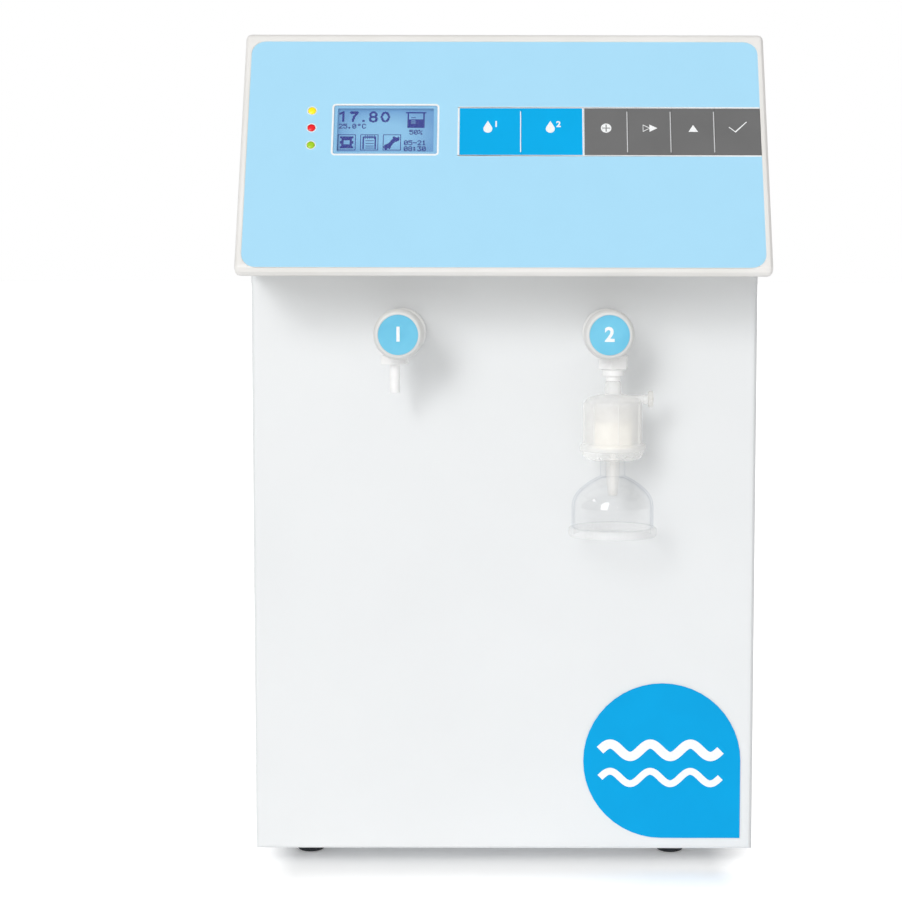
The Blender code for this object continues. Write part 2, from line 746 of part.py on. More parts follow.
def door_pull():
    """Moulded finger cup let into the door near its front edge."""
    pivot = door_pivot()
    y0 = FRAME_Y + DOOR_OPEN_CLEAR + PULL_FROM_EDGE + SEAT_GAP
    y1 = y0 + PULL_WIDTH - SEAT_GAP * 2
    half = PULL_HEIGHT / 2 - SEAT_GAP
    outer = HALF_WIDTH
    inner = outer - PULL_DEPTH - PULL_WALL
    bm = bmesh.new()
    add_block(bm, (inner, y0, PULL_Z - half), (outer, y1, PULL_Z + half))
    cup = place("door_pull", bm, black_plastic(), pivot)
    rim = bmesh.new()
    back = outer - SHEET - SEAT_GAP
    add_block(rim, (back - PULL_WALL, y0 - PULL_RIM, PULL_Z - half - PULL_RIM),
              (back, y1 + PULL_RIM, PULL_Z + half + PULL_RIM))
    join(cup, rim, "door_pull_rim")
    hollow = bmesh.new()
    add_block(hollow, (inner + PULL_WALL, y0 + PULL_WALL, PULL_Z - half + PULL_WALL),
              (outer + OVERRUN, y1 - PULL_WALL, PULL_Z + half - PULL_WALL))
    return cut(cup, hollow, "door_pull_hollow")


def door_catch():
    """Magnet block on the front panel's side, which holds the door's front fold."""
    front = FRONT_Y + FRONT_RADIUS + SEAT_GAP
    rear = FRAME_Y + DOOR_OPEN_CLEAR - SEAT_GAP
    right = HALF_WIDTH - SHEET - SEAT_GAP
    bm = bmesh.new()
    add_block(bm, (right - CATCH_SIZE / 2, front, CATCH_Z - CATCH_SIZE), (right, rear, CATCH_Z + CATCH_SIZE))
    return place("door_catch", bm, black_plastic())


# Control head
def face_prism(bm, outline, low, high):
    """An outline in (x, down the face), between two heights out of the face."""
    points = [(x, -down) for x, down in outline]
    return add_prism(bm, points, low, high, FACE_FRAME)


def face_turned(bm, x, down, profile, sides):
    return add_turned(bm, profile, FACE_FRAME @ at(x, -down, 0), sides)


def key_spans():
    """Left and right of each key, from the left of the row to the overlay's edge."""
    row = OVERLAY_HALF_WIDTH - KEYS_LEFT
    edges = [KEYS_LEFT + row * share for share in KEY_EDGE_SHARES]
    return list(zip(edges, edges[1:]))


def led_places():
    return [LED_FIRST + k * LED_PITCH for k in range(3)]


def head_shell():
    """Moulded wedge that carries the controls: hollow, open at the back, with a recess for the overlay."""
    half = HEAD_HALF_WIDTH
    bm = bmesh.new()
    side = Matrix(((0, 0, 1, 0), (1, 0, 0, FRONT_Y), (0, 1, 0, 0), (0, 0, 0, 1)))
    add_prism(bm, head_profile(0, FRONT_RETURN), -half, half, side)
    rear = FRAME_Y - OVERRUN
    edges = [e for e in bm.edges
             if all(abs(abs(v.co.x) - half) < SEAT_GAP for v in e.verts)
             and not all(v.co.y > rear for v in e.verts)
             and e.verts[0].co.x * e.verts[1].co.x > 0]
    bmesh.ops.bevel(bm, geom=edges, offset=HEAD_SIDE_RADIUS, segments=ARC_STEPS, affect="EDGES", profile=0.5)
    shell = place("head_shell", bm, moulded_white())
    hollow = bmesh.new()
    add_prism(hollow, head_profile(HEAD_WALL, FRONT_RETURN + OVERRUN), HEAD_WALL - half, half - HEAD_WALL, side)
    cut(shell, hollow, "head_hollow")
    cut(shell, head_recess(), "head_recess")
    cut(shell, head_windows(), "head_windows")
    return join(shell, head_bosses(), "head_bosses")


def head_recess():
    bm = bmesh.new()
    half = OVERLAY_HALF_WIDTH + SEAT_GAP
    top, bottom = OVERLAY_TOP - SEAT_GAP, OVERLAY_BOTTOM + SEAT_GAP
    face_prism(bm, rectangle(-half, half, top, bottom, OVERLAY_CORNER), -RECESS, OVERRUN)
    return bm


def head_windows():
    """Openings through the face for the display, the keys and the lamps."""
    bm = bmesh.new()
    deep = -HEAD_WALL - OVERRUN
    ledge = WINDOW_LEDGE
    left, right = WINDOW_X - WINDOW_WIDTH / 2 + ledge, WINDOW_X + WINDOW_WIDTH / 2 - ledge
    window = rectangle(left, right, WINDOW_TOP + ledge, WINDOW_TOP + WINDOW_HEIGHT - ledge)
    face_prism(bm, window, deep, OVERRUN)
    left, right = KEYS_LEFT - KEY_GAP, OVERLAY_HALF_WIDTH + KEY_GAP - SEAT_GAP
    row = rectangle(left, right, KEYS_TOP - KEY_GAP, KEYS_TOP + KEYS_HEIGHT + KEY_GAP)
    face_prism(bm, row, deep, OVERRUN)
    radius = LED_RADIUS + SEAT_GAP
    for down in led_places():
        face_turned(bm, LED_X, down, [(0, deep), (radius, deep), (radius, OVERRUN), (0, OVERRUN)], SMALL_SIDES)
    return bm


def board_front():
    """How far behind the face the control board's front is."""
    return -HEAD_WALL - BOARD_BEHIND


def head_bosses():
    """Pillars on which the control board is screwed."""
    bm = bmesh.new()
    low, high = board_front() + SEAT_GAP, -HEAD_WALL + SHEET / 2
    profile = [(0, low), (BOSS_RADIUS, low), (BOSS_RADIUS, high), (0, high)]
    for x in (BOARD_LEFT + BOSS_INSET, BOARD_RIGHT - BOSS_INSET):
        for down in (BOARD_TOP + BOSS_INSET, BOARD_TOP + BOARD_HEIGHT - BOSS_INSET):
            face_turned(bm, x, down, profile, TUBE_SIDES)
    return bm


def control_overlay():
    """Printed film in the recess, notched at the right for the keys and holed for window and lamps."""
    low, high = -RECESS + SEAT_GAP, -RECESS + SEAT_GAP + OVERLAY_FILM
    half = OVERLAY_HALF_WIDTH
    top, bottom = KEYS_TOP - KEY_GAP, KEYS_TOP + KEYS_HEIGHT + KEY_GAP
    left = KEYS_LEFT - KEY_GAP
    corners = [(-half, OVERLAY_TOP), (half, OVERLAY_TOP), (half, top), (left, top), (left, bottom),
               (half, bottom), (half, OVERLAY_BOTTOM), (-half, OVERLAY_BOTTOM)]
    radii = [OVERLAY_CORNER, OVERLAY_CORNER, 0, 0, 0, 0, OVERLAY_CORNER, OVERLAY_CORNER]
    bm = bmesh.new()
    face_prism(bm, rounded(corners, radii, ARC_STEPS + 2), low, high)
    film = place("control_overlay", bm, overlay_blue())
    holes = bmesh.new()
    left, right = WINDOW_X - WINDOW_WIDTH / 2, WINDOW_X + WINDOW_WIDTH / 2
    window = rectangle(left, right, WINDOW_TOP, WINDOW_TOP + WINDOW_HEIGHT, WINDOW_CORNER)
    face_prism(holes, window, -RECESS - OVERRUN, OVERRUN)
    radius = LED_RADIUS + SEAT_GAP
    profile = [(0, -RECESS - OVERRUN), (radius, -RECESS - OVERRUN), (radius, OVERRUN), (0, OVERRUN)]
    for down in led_places():
        face_turned(holes, LED_X, down, profile, SMALL_SIDES)
    return cut(film, holes, "overlay_holes")


def display_window():
    """Clear pane over the display, set in the overlay and resting on the ledge round its opening."""
    low, high = -RECESS + SEAT_GAP, -RECESS + SEAT_GAP + OVERLAY_FILM
    gap = SEAT_GAP
    left, right = WINDOW_X - WINDOW_WIDTH / 2 + gap, WINDOW_X + WINDOW_WIDTH / 2 - gap
    bm = bmesh.new()
    face_prism(bm, rectangle(left, right, WINDOW_TOP + gap, WINDOW_TOP + WINDOW_HEIGHT - gap, WINDOW_CORNER),
               low, high)
    return place("display_window", bm, clear_plastic())


def display_module():
    """Liquid crystal display in its frame, between the shell and the board."""
    high = -HEAD_WALL - SEAT_GAP
    low = high - DISPLAY_THICK
    border = DISPLAY_BORDER
    left, right = WINDOW_X - WINDOW_WIDTH / 2 - border, WINDOW_X + WINDOW_WIDTH / 2 + border
    bm = bmesh.new()
    outline = rectangle(left, right, WINDOW_TOP - border, WINDOW_TOP + WINDOW_HEIGHT + border, DISPLAY_CORNER)
    face_prism(bm, outline, low, high)
    return place("display_module", bm, paint("display_glass_blue", (0.25, 0.53, 0.82), 0.3))


def control_board():
    """Printed circuit board with one small switch under each key."""
    front = board_front()
    bm = bmesh.new()
    outline = rectangle(BOARD_LEFT, BOARD_RIGHT, BOARD_TOP, BOARD_TOP + BOARD_HEIGHT)
    face_prism(bm, outline, front - BOARD_THICK, front)
    board = place("control_board", bm, paint("circuit_board_green", (0.02, 0.2, 0.08), 0.5))
    parts = bmesh.new()
    middle = KEYS_TOP + KEYS_HEIGHT / 2
    low, high = front - BOARD_THICK / 2, front + SWITCH_HEIGHT
    for left, right in key_spans():
        profile = [(0, low), (SWITCH_RADIUS, low), (SWITCH_RADIUS, high), (0, high)]
        face_turned(parts, (left + right) / 2, middle, profile, SMALL_SIDES)
    return join(board, parts, "control_board_switches")


def lamps():
    """Three round lamps that stand on the board and look out through the overlay."""
    colours = (("lamp_yellow", (1.0, 0.85, 0.0)), ("lamp_red", (0.8, 0.0, 0.01)),
               ("lamp_green", (0.37, 0.6, 0.0)))
    low = board_front() + SEAT_GAP
    high = LED_PROUD - RECESS + OVERLAY_FILM
    for (name, colour), down in zip(colours, led_places()):
        bm = bmesh.new()
        flange = LED_RADIUS + LED_FLANGE
        dome = LED_RADIUS * 0.7
        profile = [(0, low), (flange, low), (flange, low + LED_FLANGE * 2), (LED_RADIUS, low + LED_FLANGE * 2),
                   (LED_RADIUS, high - LED_PROUD), (dome, high), (0, high)]
        face_turned(bm, LED_X, down, profile, SMALL_SIDES)
        place(name, bm, paint(name, colour, 0.25))


def keys():
    """Six press keys flush with the overlay, each with a stem that reaches its switch."""
    names = ("key_outlet_1", "key_outlet_2", "key_menu", "key_shift", "key_up", "key_enter")
    high = -RECESS + SEAT_GAP + OVERLAY_FILM
    low = high - KEY_PLATE
    foot = board_front() + SWITCH_HEIGHT + KEY_TRAVEL + KEY_RESERVE
    middle = KEYS_TOP + KEYS_HEIGHT / 2
    for i, (name, (left, right)) in enumerate(zip(names, key_spans())):
        near, far = left + KEY_GAP / 2, right - KEY_GAP / 2
        centre = FACE_FRAME @ Vector(((left + right) / 2, -middle, high))
        material = key_blue() if i < 2 else key_grey()
        bm = bmesh.new()
        face_prism(bm, rectangle(near, far, KEYS_TOP, KEYS_TOP + KEYS_HEIGHT), low, high)
        key = place(name, bm, material, centre)
        stem = bmesh.new()
        profile = [(0, foot), (KEY_STEM_RADIUS, foot), (KEY_STEM_RADIUS, low + KEY_PLATE / 2),
                   (0, low + KEY_PLATE / 2)]
        face_turned(stem, (left + right) / 2, middle, profile, SMALL_SIDES)
        join(key, stem, name + "_stem")


# Badge
def badge():
    """Drop-shaped vinyl badge: a disc with one square corner, low on the right."""
    steps = 36
    arc = [math.radians(-90 - 270 * k / steps) for k in range(steps + 1)]
    outline = [(BADGE_X + BADGE_RADIUS * math.cos(a), BADGE_Z + BADGE_RADIUS * math.sin(a)) for a in arc]
    outline.append((BADGE_X + BADGE_RADIUS, BADGE_Z - BADGE_RADIUS))
    bm = bmesh.new()
    add_prism(bm, outline, SEAT_GAP, SEAT_GAP + BADGE_THICK, towards_front(0, FRONT_Y, 0))
    return place("badge", bm, badge_blue())


# Outlets
def outlet_body(name, x):
    """Turned valve body: flange on the panel, barrel, and a threaded tail through the panel."""
    profile = [(0, -OUTLET_TAIL), (OUTLET_TAIL_RADIUS, -OUTLET_TAIL), (OUTLET_TAIL_RADIUS, SEAT_GAP),
               (OUTLET_FLANGE_RADIUS, SEAT_GAP), (OUTLET_FLANGE_RADIUS, OUTLET_FLANGE),
               (OUTLET_BARREL_RADIUS, OUTLET_FLANGE + OUTLET_FLANGE / 2),
               (OUTLET_BARREL_RADIUS, OUTLET_LENGTH), (STEM_RADIUS, OUTLET_LENGTH),
               (STEM_RADIUS, OUTLET_LENGTH + STEM_LENGTH), (0, OUTLET_LENGTH + STEM_LENGTH)]
    body = turned(name, profile, towards_front(x, FRONT_Y, OUTLET_Z), fitting_white())
    boss = bmesh.new()
    foot = OUTLET_Z - BOSS_OUT_DROP
    add_turned(boss, [(0, foot), (BOSS_OUT_RADIUS, foot), (BOSS_OUT_RADIUS, OUTLET_Z), (0, OUTLET_Z)],
               at(math.copysign(FITTING_X, x), FRONT_Y - OUTLET_OUT, 0), SMALL_SIDES)
    return join(body, boss, name + "_boss")


def outlet_knob(name, x):
    """Round turning knob: a domed rim round a flat face, hollow behind for the valve's stem."""
    back = OUTLET_LENGTH + SEAT_GAP
    face = back + KNOB_LENGTH
    bulge = KNOB_LENGTH / 3
    bore = STEM_RADIUS + RUN_GAP
    depth = OUTLET_LENGTH + STEM_LENGTH + SEAT_GAP
    swell = KNOB_RADIUS - KNOB_FACE_RADIUS
    profile = [(0, depth), (bore, depth), (bore, back), (KNOB_RADIUS - swell / 3, back),
               (KNOB_RADIUS, back + bulge / 2), (KNOB_RADIUS, back + bulge)]
    for k in range(1, ARC_STEPS + 2):
        a = math.pi / 2 * k / (ARC_STEPS + 1)
        reach = back + bulge + (KNOB_LENGTH - bulge) * math.sin(a)
        profile.append((KNOB_FACE_RADIUS + swell * math.cos(a), reach))
    seat = face - LABEL_THICK
    profile += [(LABEL_RADIUS + SEAT_GAP, face), (LABEL_RADIUS + SEAT_GAP, seat), (0, seat)]
    pivot = (x, FRONT_Y - back, OUTLET_Z)
    place_on = towards_front(x, FRONT_Y, OUTLET_Z)
    return turned(name, profile, place_on, moulded_white(), ROUND_SIDES + 8, False, pivot)


def knob_label(name, x):
    """Printed disc let into the knob's face."""
    back = OUTLET_LENGTH + SEAT_GAP
    low = back + KNOB_LENGTH - LABEL_THICK + SEAT_GAP
    profile = [(0, low), (LABEL_RADIUS, low), (LABEL_RADIUS, low + LABEL_THICK), (0, low + LABEL_THICK)]
    pivot = (x, FRONT_Y - back, OUTLET_Z)
    place_on = towards_front(x, FRONT_Y, OUTLET_Z)
    return turned(name, profile, place_on, label_blue(), ROUND_SIDES + 8, False, pivot)




def nut_top():
    return OUTLET_Z - BOSS_OUT_DROP - SEAT_GAP


def outlet_nut():
    """Hexagon nut under the first valve's boss, which grips the spout."""
    top = nut_top()
    bm = bmesh.new()
    add_prism(bm, hexagon(NUT_FLATS), top - NUT_HEIGHT, top, at(-FITTING_X, FRONT_Y - OUTLET_OUT, 0))
    return place("outlet_nut_1", bm, fitting_white())


def swivel_nut():
    """Larger nut under the second valve's boss: a hexagon, a cone, a skirt and a ring for the filter's neck."""
    top = nut_top()
    frame = at(FITTING_X, FRONT_Y - OUTLET_OUT, 0)
    bm = bmesh.new()
    add_prism(bm, hexagon(SWIVEL_FLATS), top - SWIVEL_HEIGHT, top, frame)
    nut = place("outlet_nut_2", bm, fitting_white())
    turn = bmesh.new()
    cone = top - SWIVEL_HEIGHT - SWIVEL_CONE
    skirt = cone - SWIVEL_SKIRT
    ring = skirt - SWIVEL_RING
    profile = [(0, ring), (SWIVEL_RING_RADIUS, ring), (SWIVEL_RING_RADIUS, skirt), (SWIVEL_SKIRT_RADIUS, skirt),
               (SWIVEL_SKIRT_RADIUS, cone), (SWIVEL_FLATS / 2 - SWIVEL_CONE / 4, cone + SWIVEL_CONE),
               (SWIVEL_FLATS / 2 - SWIVEL_CONE / 4, top - SWIVEL_HEIGHT / 2), (0, top - SWIVEL_HEIGHT / 2)]
    add_turned(turn, profile, frame, ROUND_SIDES)
    return join(nut, turn, "outlet_nut_2_skirt")


def outlet_spout():
    """Short stub of tube under the first outlet, with a fine step where the tube is gripped."""
    top = nut_top() - NUT_HEIGHT - SEAT_GAP
    foot = top - SPOUT_LENGTH
    grip = SPOUT_LENGTH / 2
    step = SPOUT_RADIUS / 16
    profile = [(SPOUT_BORE, foot), (SPOUT_RADIUS, foot), (SPOUT_RADIUS, top - grip),
               (SPOUT_RADIUS + step, top - grip + step), (SPOUT_RADIUS + step, top), (SPOUT_BORE, top)]
    return turned("outlet_spout_1", profile, at(-FITTING_X, FRONT_Y - OUTLET_OUT, 0), fitting_white(),
                  SMALL_SIDES, True)


# Final filter
def filter_top():
    """Height of the capsule's upper end, under the second outlet's nut."""
    return nut_top() - SWIVEL_HEIGHT - SWIVEL_CONE - SWIVEL_SKIRT - SWIVEL_RING - SEAT_GAP


def shoulder_z():
    return filter_top() - NECK_LENGTH


def flange_top():
    return shoulder_z() - CAPSULE_SHOULDER - CAPSULE_LENGTH


def filter_capsule():
    """Milky ribbed bowl with a neck above, a vent stem at its side and a flange below."""
    top, shoulder, flange = filter_top(), shoulder_z(), flange_top()
    wall = CAPSULE_WALL
    inner = CAPSULE_RADIUS - wall
    edge = shoulder - CAPSULE_SHOULDER
    foot = flange - FLANGE_HEIGHT
    profile = [(0, shoulder - wall * 2), (inner * 0.6, shoulder - wall * 2 - CAPSULE_SHOULDER * 0.2),
               (inner, edge - wall), (inner, foot), (FLANGE_RADIUS, foot), (FLANGE_RADIUS, flange),
               (CAPSULE_RADIUS, flange), (CAPSULE_RADIUS, edge)]
    for k in range(1, ARC_STEPS):
        a = math.pi / 2 * k / ARC_STEPS
        reach = CAPSULE_RADIUS - NECK_RADIUS
        profile.append((NECK_RADIUS + reach * math.cos(a), edge + CAPSULE_SHOULDER * math.sin(a)))
    profile += [(NECK_RADIUS, shoulder), (NECK_RADIUS, top - wall), (NECK_RADIUS * 0.8, top), (0, top)]
    frame = at(FITTING_X, FRONT_Y - OUTLET_OUT, 0)
    bowl = turned("filter_capsule", profile, frame, milky_plastic(), ROUND_SIDES + 8)
    ribs = bmesh.new()
    for k in range(CAPSULE_RIB_COUNT):
        turn = Matrix.Rotation(2 * math.pi * (k + 0.5) / CAPSULE_RIB_COUNT, 4, "Z")
        half = CAPSULE_RIB / 2
        add_block(ribs, (CAPSULE_RADIUS - wall / 2, -half, flange - FLANGE_HEIGHT / 2),
                  (CAPSULE_RADIUS + half, half, edge), frame @ turn)
    join(bowl, ribs, "filter_capsule_ribs")
    stem = bmesh.new()
    reach = VENT_REACH - SEAT_GAP
    profile = [(0, NECK_RADIUS), (VENT_STEM_RADIUS, NECK_RADIUS), (VENT_STEM_RADIUS, reach), (0, reach)]
    add_turned(stem, profile, towards_right(FITTING_X, FRONT_Y - OUTLET_OUT, shoulder - VENT_DROP), SMALL_SIDES)
    return join(bowl, stem, "filter_capsule_stem")


def vent_cap():
    """Small screw cap on the capsule's vent stem."""
    z = shoulder_z() - VENT_DROP
    chamfer = VENT_CAP_THICK / 6
    end = VENT_REACH + VENT_CAP_THICK
    face = VENT_CAP_RADIUS - chamfer
    profile = [(0, VENT_REACH), (face, VENT_REACH), (VENT_CAP_RADIUS, VENT_REACH + chamfer),
               (VENT_CAP_RADIUS, end - chamfer), (face, end), (0, end)]
    pivot = (FITTING_X + VENT_REACH, FRONT_Y - OUTLET_OUT, z)
    return turned("vent_cap", profile, towards_right(FITTING_X, FRONT_Y - OUTLET_OUT, z), milky_plastic(),
                  SMALL_SIDES, False, pivot)


def filter_core():
    """Pleated element inside the capsule."""
    foot = flange_top() - FLANGE_HEIGHT + CORE_CLEAR / 2
    top = shoulder_z() - CAPSULE_SHOULDER - CORE_CLEAR
    profile = [(0, foot), (CORE_RADIUS, foot), (CORE_RADIUS, top), (0, top)]
    return turned("filter_core", profile, at(FITTING_X, FRONT_Y - OUTLET_OUT, 0),
                  paint("pleated_membrane_cream", (0.93, 0.89, 0.8), 0.8), ROUND_SIDES)


def filter_base():
    """Lower half of the capsule, welded to the flange, with a seat for the element and a barb below."""
    top = flange_top() - FLANGE_HEIGHT - SEAT_GAP
    low = top - CAPSULE_BASE_HEIGHT
    chamfer = CAPSULE_BASE_HEIGHT / 3
    radius = CAPSULE_RADIUS + CAPSULE_RIB
    tip = low - BARB_LENGTH
    seat = flange_top() - FLANGE_HEIGHT + CORE_CLEAR / 2 - SEAT_GAP
    profile = [(BARB_BORE, tip), (BARB_TIP_RADIUS, tip), (BARB_RADIUS, low - BELL_NECK_LENGTH),
               (BARB_RADIUS, low), (radius - chamfer * 2, low), (radius, low + chamfer * 2), (radius, top),
               (CORE_RADIUS, top), (CORE_RADIUS, seat), (BARB_BORE, seat)]
    place_on = at(FITTING_X, FRONT_Y - OUTLET_OUT, 0)
    return turned("filter_base", profile, place_on, milky_plastic(), ROUND_SIDES, True)


def bell_top():
    return flange_top() - FLANGE_HEIGHT - SEAT_GAP - CAPSULE_BASE_HEIGHT - SEAT_GAP


def filling_bell():
    """Clear bell that keeps dust off the water while a vessel is filled, pushed on the capsule's barb."""
    top = bell_top()
    wall = BELL_WALL
    neck = top - BELL_NECK_LENGTH
    shoulder = neck - BELL_SHOULDER_DROP
    rim_top = shoulder - BELL_WALL_LENGTH
    foot = rim_top - BELL_RIM_HEIGHT
    bore = BARB_RADIUS + RUN_GAP
    outer = bell_shoulder(BELL_NECK_RADIUS, BELL_RADIUS, neck, shoulder)
    inner = bell_shoulder(bore + wall, BELL_RADIUS - wall, neck - wall, shoulder)
    profile = [(bore, top), (BELL_NECK_RADIUS, top)] + outer
    profile += [(BELL_RADIUS, rim_top), (BELL_RIM_RADIUS, rim_top - wall / 2), (BELL_RIM_RADIUS, foot),
                (BELL_RADIUS - wall, foot)]
    profile += list(reversed(inner)) + [(bore, neck - wall / 2)]
    profile.reverse()
    return turned("filling_bell", profile, at(FITTING_X, FRONT_Y - OUTLET_OUT, 0), clear_plastic(),
                  ROUND_SIDES + 4, True)


def bell_shoulder(near, far, high, low):
    """Sloping line from the neck that rounds over into the bell's wall."""
    reach, drop = far - near, high - low
    points = [(near, high), (near + reach * 0.45, high - drop * 0.34)]
    for k in range(1, ARC_STEPS + 2):
        a = math.pi / 2 * k / (ARC_STEPS + 1)
        points.append((near + reach * (0.45 + 0.55 * math.sin(a)), high - drop * (1 - 0.66 * math.cos(a))))
    return points


# Rear fittings
def tube_port(name, x):
    """Push-in tube port through the rear panel, with a bore that takes the tube."""
    lip = PORT_FLANGE / 4
    depth = PORT_OUT - PORT_TAIL_RADIUS
    profile = [(0, -PORT_TAIL), (PORT_TAIL_RADIUS, -PORT_TAIL), (PORT_TAIL_RADIUS, SEAT_GAP),
               (PORT_FLANGE_RADIUS, SEAT_GAP), (PORT_FLANGE_RADIUS, PORT_FLANGE), (PORT_RADIUS, PORT_FLANGE),
               (PORT_RADIUS, PORT_OUT - lip), (PORT_RADIUS - lip, PORT_OUT), (PORT_BORE, PORT_OUT),
               (PORT_BORE, PORT_OUT - depth), (0, PORT_OUT - depth)]
    return turned(name, profile, towards_rear(x, REAR_Y, PORT_Z), fitting_white(), SMALL_SIDES + 4)


def rear_block(bm, x, z, width, height, near, far):
    """A box centred at x and z, between two distances out of the rear panel."""
    add_block(bm, (x - width / 2, REAR_Y + near, z - height / 2), (x + width / 2, REAR_Y + far, z + height / 2))


def mains_inlet():
    """Three-pin mains socket and the switch's housing in one moulding, let into the rear panel."""
    bm = bmesh.new()
    rear_block(bm, INLET_X, INLET_Z, INLET_WIDTH, INLET_HEIGHT, -INLET_DEPTH, SEAT_GAP + INLET_RIM_THICK)
    inlet = place("mains_inlet", bm, black_plastic())
    rim = bmesh.new()
    rear_block(rim, INLET_X, INLET_Z, INLET_WIDTH + INLET_RIM * 2, INLET_HEIGHT + INLET_RIM * 2,
               SEAT_GAP, SEAT_GAP + INLET_RIM_THICK)
    join(inlet, rim, "mains_inlet_rim")
    hollow = bmesh.new()
    face = SEAT_GAP + INLET_RIM_THICK
    rear_block(hollow, INLET_X, INLET_Z - SOCKET_DROP, SOCKET_WIDTH, SOCKET_HEIGHT, face - SOCKET_DEPTH,
               face + OVERRUN)
    rear_block(hollow, INLET_X, INLET_Z + ROCKER_RISE, ROCKER_WIDTH, ROCKER_HEIGHT, face - ROCKER_POCKET,
               face + OVERRUN)
    cut(inlet, hollow, "mains_inlet_hollow")
    pins = bmesh.new()
    floor = face - SOCKET_DEPTH
    for dx, dz in ((-PIN_SPREAD, -PIN_HEIGHT / 2), (PIN_SPREAD, -PIN_HEIGHT / 2), (0, PIN_HEIGHT / 2)):
        rear_block(pins, INLET_X + dx, INLET_Z - SOCKET_DROP + dz, PIN_WIDTH, PIN_HEIGHT, floor - PIN_WIDTH,
                   floor + PIN_LENGTH)
    return join(inlet, pins, "mains_inlet_pins")


def power_rocker():
    """Rocker of the mains switch, tilted to off about its axis in the housing."""
    face = SEAT_GAP + INLET_RIM_THICK
    half_width = ROCKER_WIDTH / 2 - RUN_GAP
    half_height = ROCKER_HEIGHT / 2 - RUN_GAP * 3
    axis_depth = ROCKER_POCKET * 3 / 8
    proud = ROCKER_POCKET / 2
    outline = [(-half_height * 0.7, -axis_depth), (half_height * 0.7, -axis_depth), (half_height, axis_depth),
               (half_height, axis_depth + proud / 2), (0, axis_depth + proud / 3),
               (-half_height, axis_depth + proud / 2), (-half_height, axis_depth)]
    pivot = (INLET_X, REAR_Y + face - axis_depth, INLET_Z + ROCKER_RISE)
    lie = Matrix(((0, 0, 1, 0), (0, 1, 0, 0), (1, 0, 0, 0), (0, 0, 0, 1)))
    tilt = Matrix.Rotation(math.radians(-ROCKER_TILT_DEG), 4, "X")
    bm = bmesh.new()
    add_prism(bm, outline, -half_width, half_width, at(*pivot) @ tilt @ lie)
    return place("power_rocker", bm, paint("black_rocker", (0.03, 0.03, 0.03), 0.3), pivot)


# Machinery
def cartridge_places():
    """Middles of the front and rear cartridge, as y."""
    return FRONT_Y + CARTRIDGE_FRONT_IN, FRONT_Y + CARTRIDGE_FRONT_IN + CARTRIDGE_PITCH


def rack_top():
    return FLOOR_Z + SEAT_GAP + RACK_PLATE


def cartridge_top():
    return OUTLET_Z - CARTRIDGE_DROP


def cartridge_rack():
    """Folded sheet rack: the cartridges stand on its floor and pass through its shelf."""
    ys = cartridge_places()
    reach = CARTRIDGE_RADIUS + RACK_FOOT / 2
    left, right = CARTRIDGE_X - reach, CARTRIDGE_X + reach
    front, rear = ys[0] - reach, ys[-1] + reach
    bottom = FLOOR_Z + SEAT_GAP
    shelf = cartridge_top() - RACK_SHELF_DROP
    bm = bmesh.new()
    add_block(bm, (left, front, bottom), (right, rear, bottom + RACK_PLATE))
    rack = place("cartridge_rack", bm, bright_steel())
    sides = bmesh.new()
    add_block(sides, (left, front, bottom + RACK_PLATE / 2), (left + RACK_PLATE, rear, shelf + RACK_PLATE / 2))
    join(rack, sides, "rack_back")
    top = bmesh.new()
    add_block(top, (left, front, shelf), (right, rear, shelf + RACK_PLATE))
    join(rack, top, "rack_shelf")
    holes = bmesh.new()
    radius = CARTRIDGE_RADIUS + RUN_GAP
    low, high = shelf - OVERRUN, shelf + RACK_PLATE + OVERRUN
    for y in ys:
        add_turned(holes, [(0, low), (radius, low), (radius, high), (0, high)], at(CARTRIDGE_X, y, 0))
    return cut(rack, holes, "rack_holes")


def stub_offsets():
    """Where a cartridge's two tube stubs stand on its cap, as y from its axis."""
    return (-CARTRIDGE_RADIUS / 2, CARTRIDGE_RADIUS / 2)


def cartridge(name, y, material):
    """Treatment cartridge: a plain cylinder with a wider cap and two tube stubs."""
    bottom = rack_top() + SEAT_GAP
    top = cartridge_top() - CARTRIDGE_STUB
    chamfer = CARTRIDGE_CAP_PROUD * 2
    cap = CARTRIDGE_RADIUS + CARTRIDGE_CAP_PROUD
    profile = [(0, bottom), (CARTRIDGE_RADIUS - chamfer, bottom), (CARTRIDGE_RADIUS, bottom + chamfer),
               (CARTRIDGE_RADIUS, top - CARTRIDGE_CAP), (cap, top - CARTRIDGE_CAP), (cap, top - chamfer),
               (cap - chamfer, top), (0, top)]
    body = turned(name, profile, at(CARTRIDGE_X, y, 0), material)
    stubs = bmesh.new()
    for offset in stub_offsets():
        foot = top - chamfer
        end = cartridge_top()
        profile = [(0, foot), (CARTRIDGE_STUB_RADIUS, foot), (CARTRIDGE_STUB_RADIUS, end), (0, end)]
        add_turned(stubs, profile, at(CARTRIDGE_X, y + offset, 0), SMALL_SIDES)
    return join(body, stubs, name + "_stubs")


def membrane_top():
    return OUTLET_Z - MEMBRANE_DROP


def membrane_y():
    return REAR_Y - MEMBRANE_REAR_IN - MEMBRANE_RADIUS


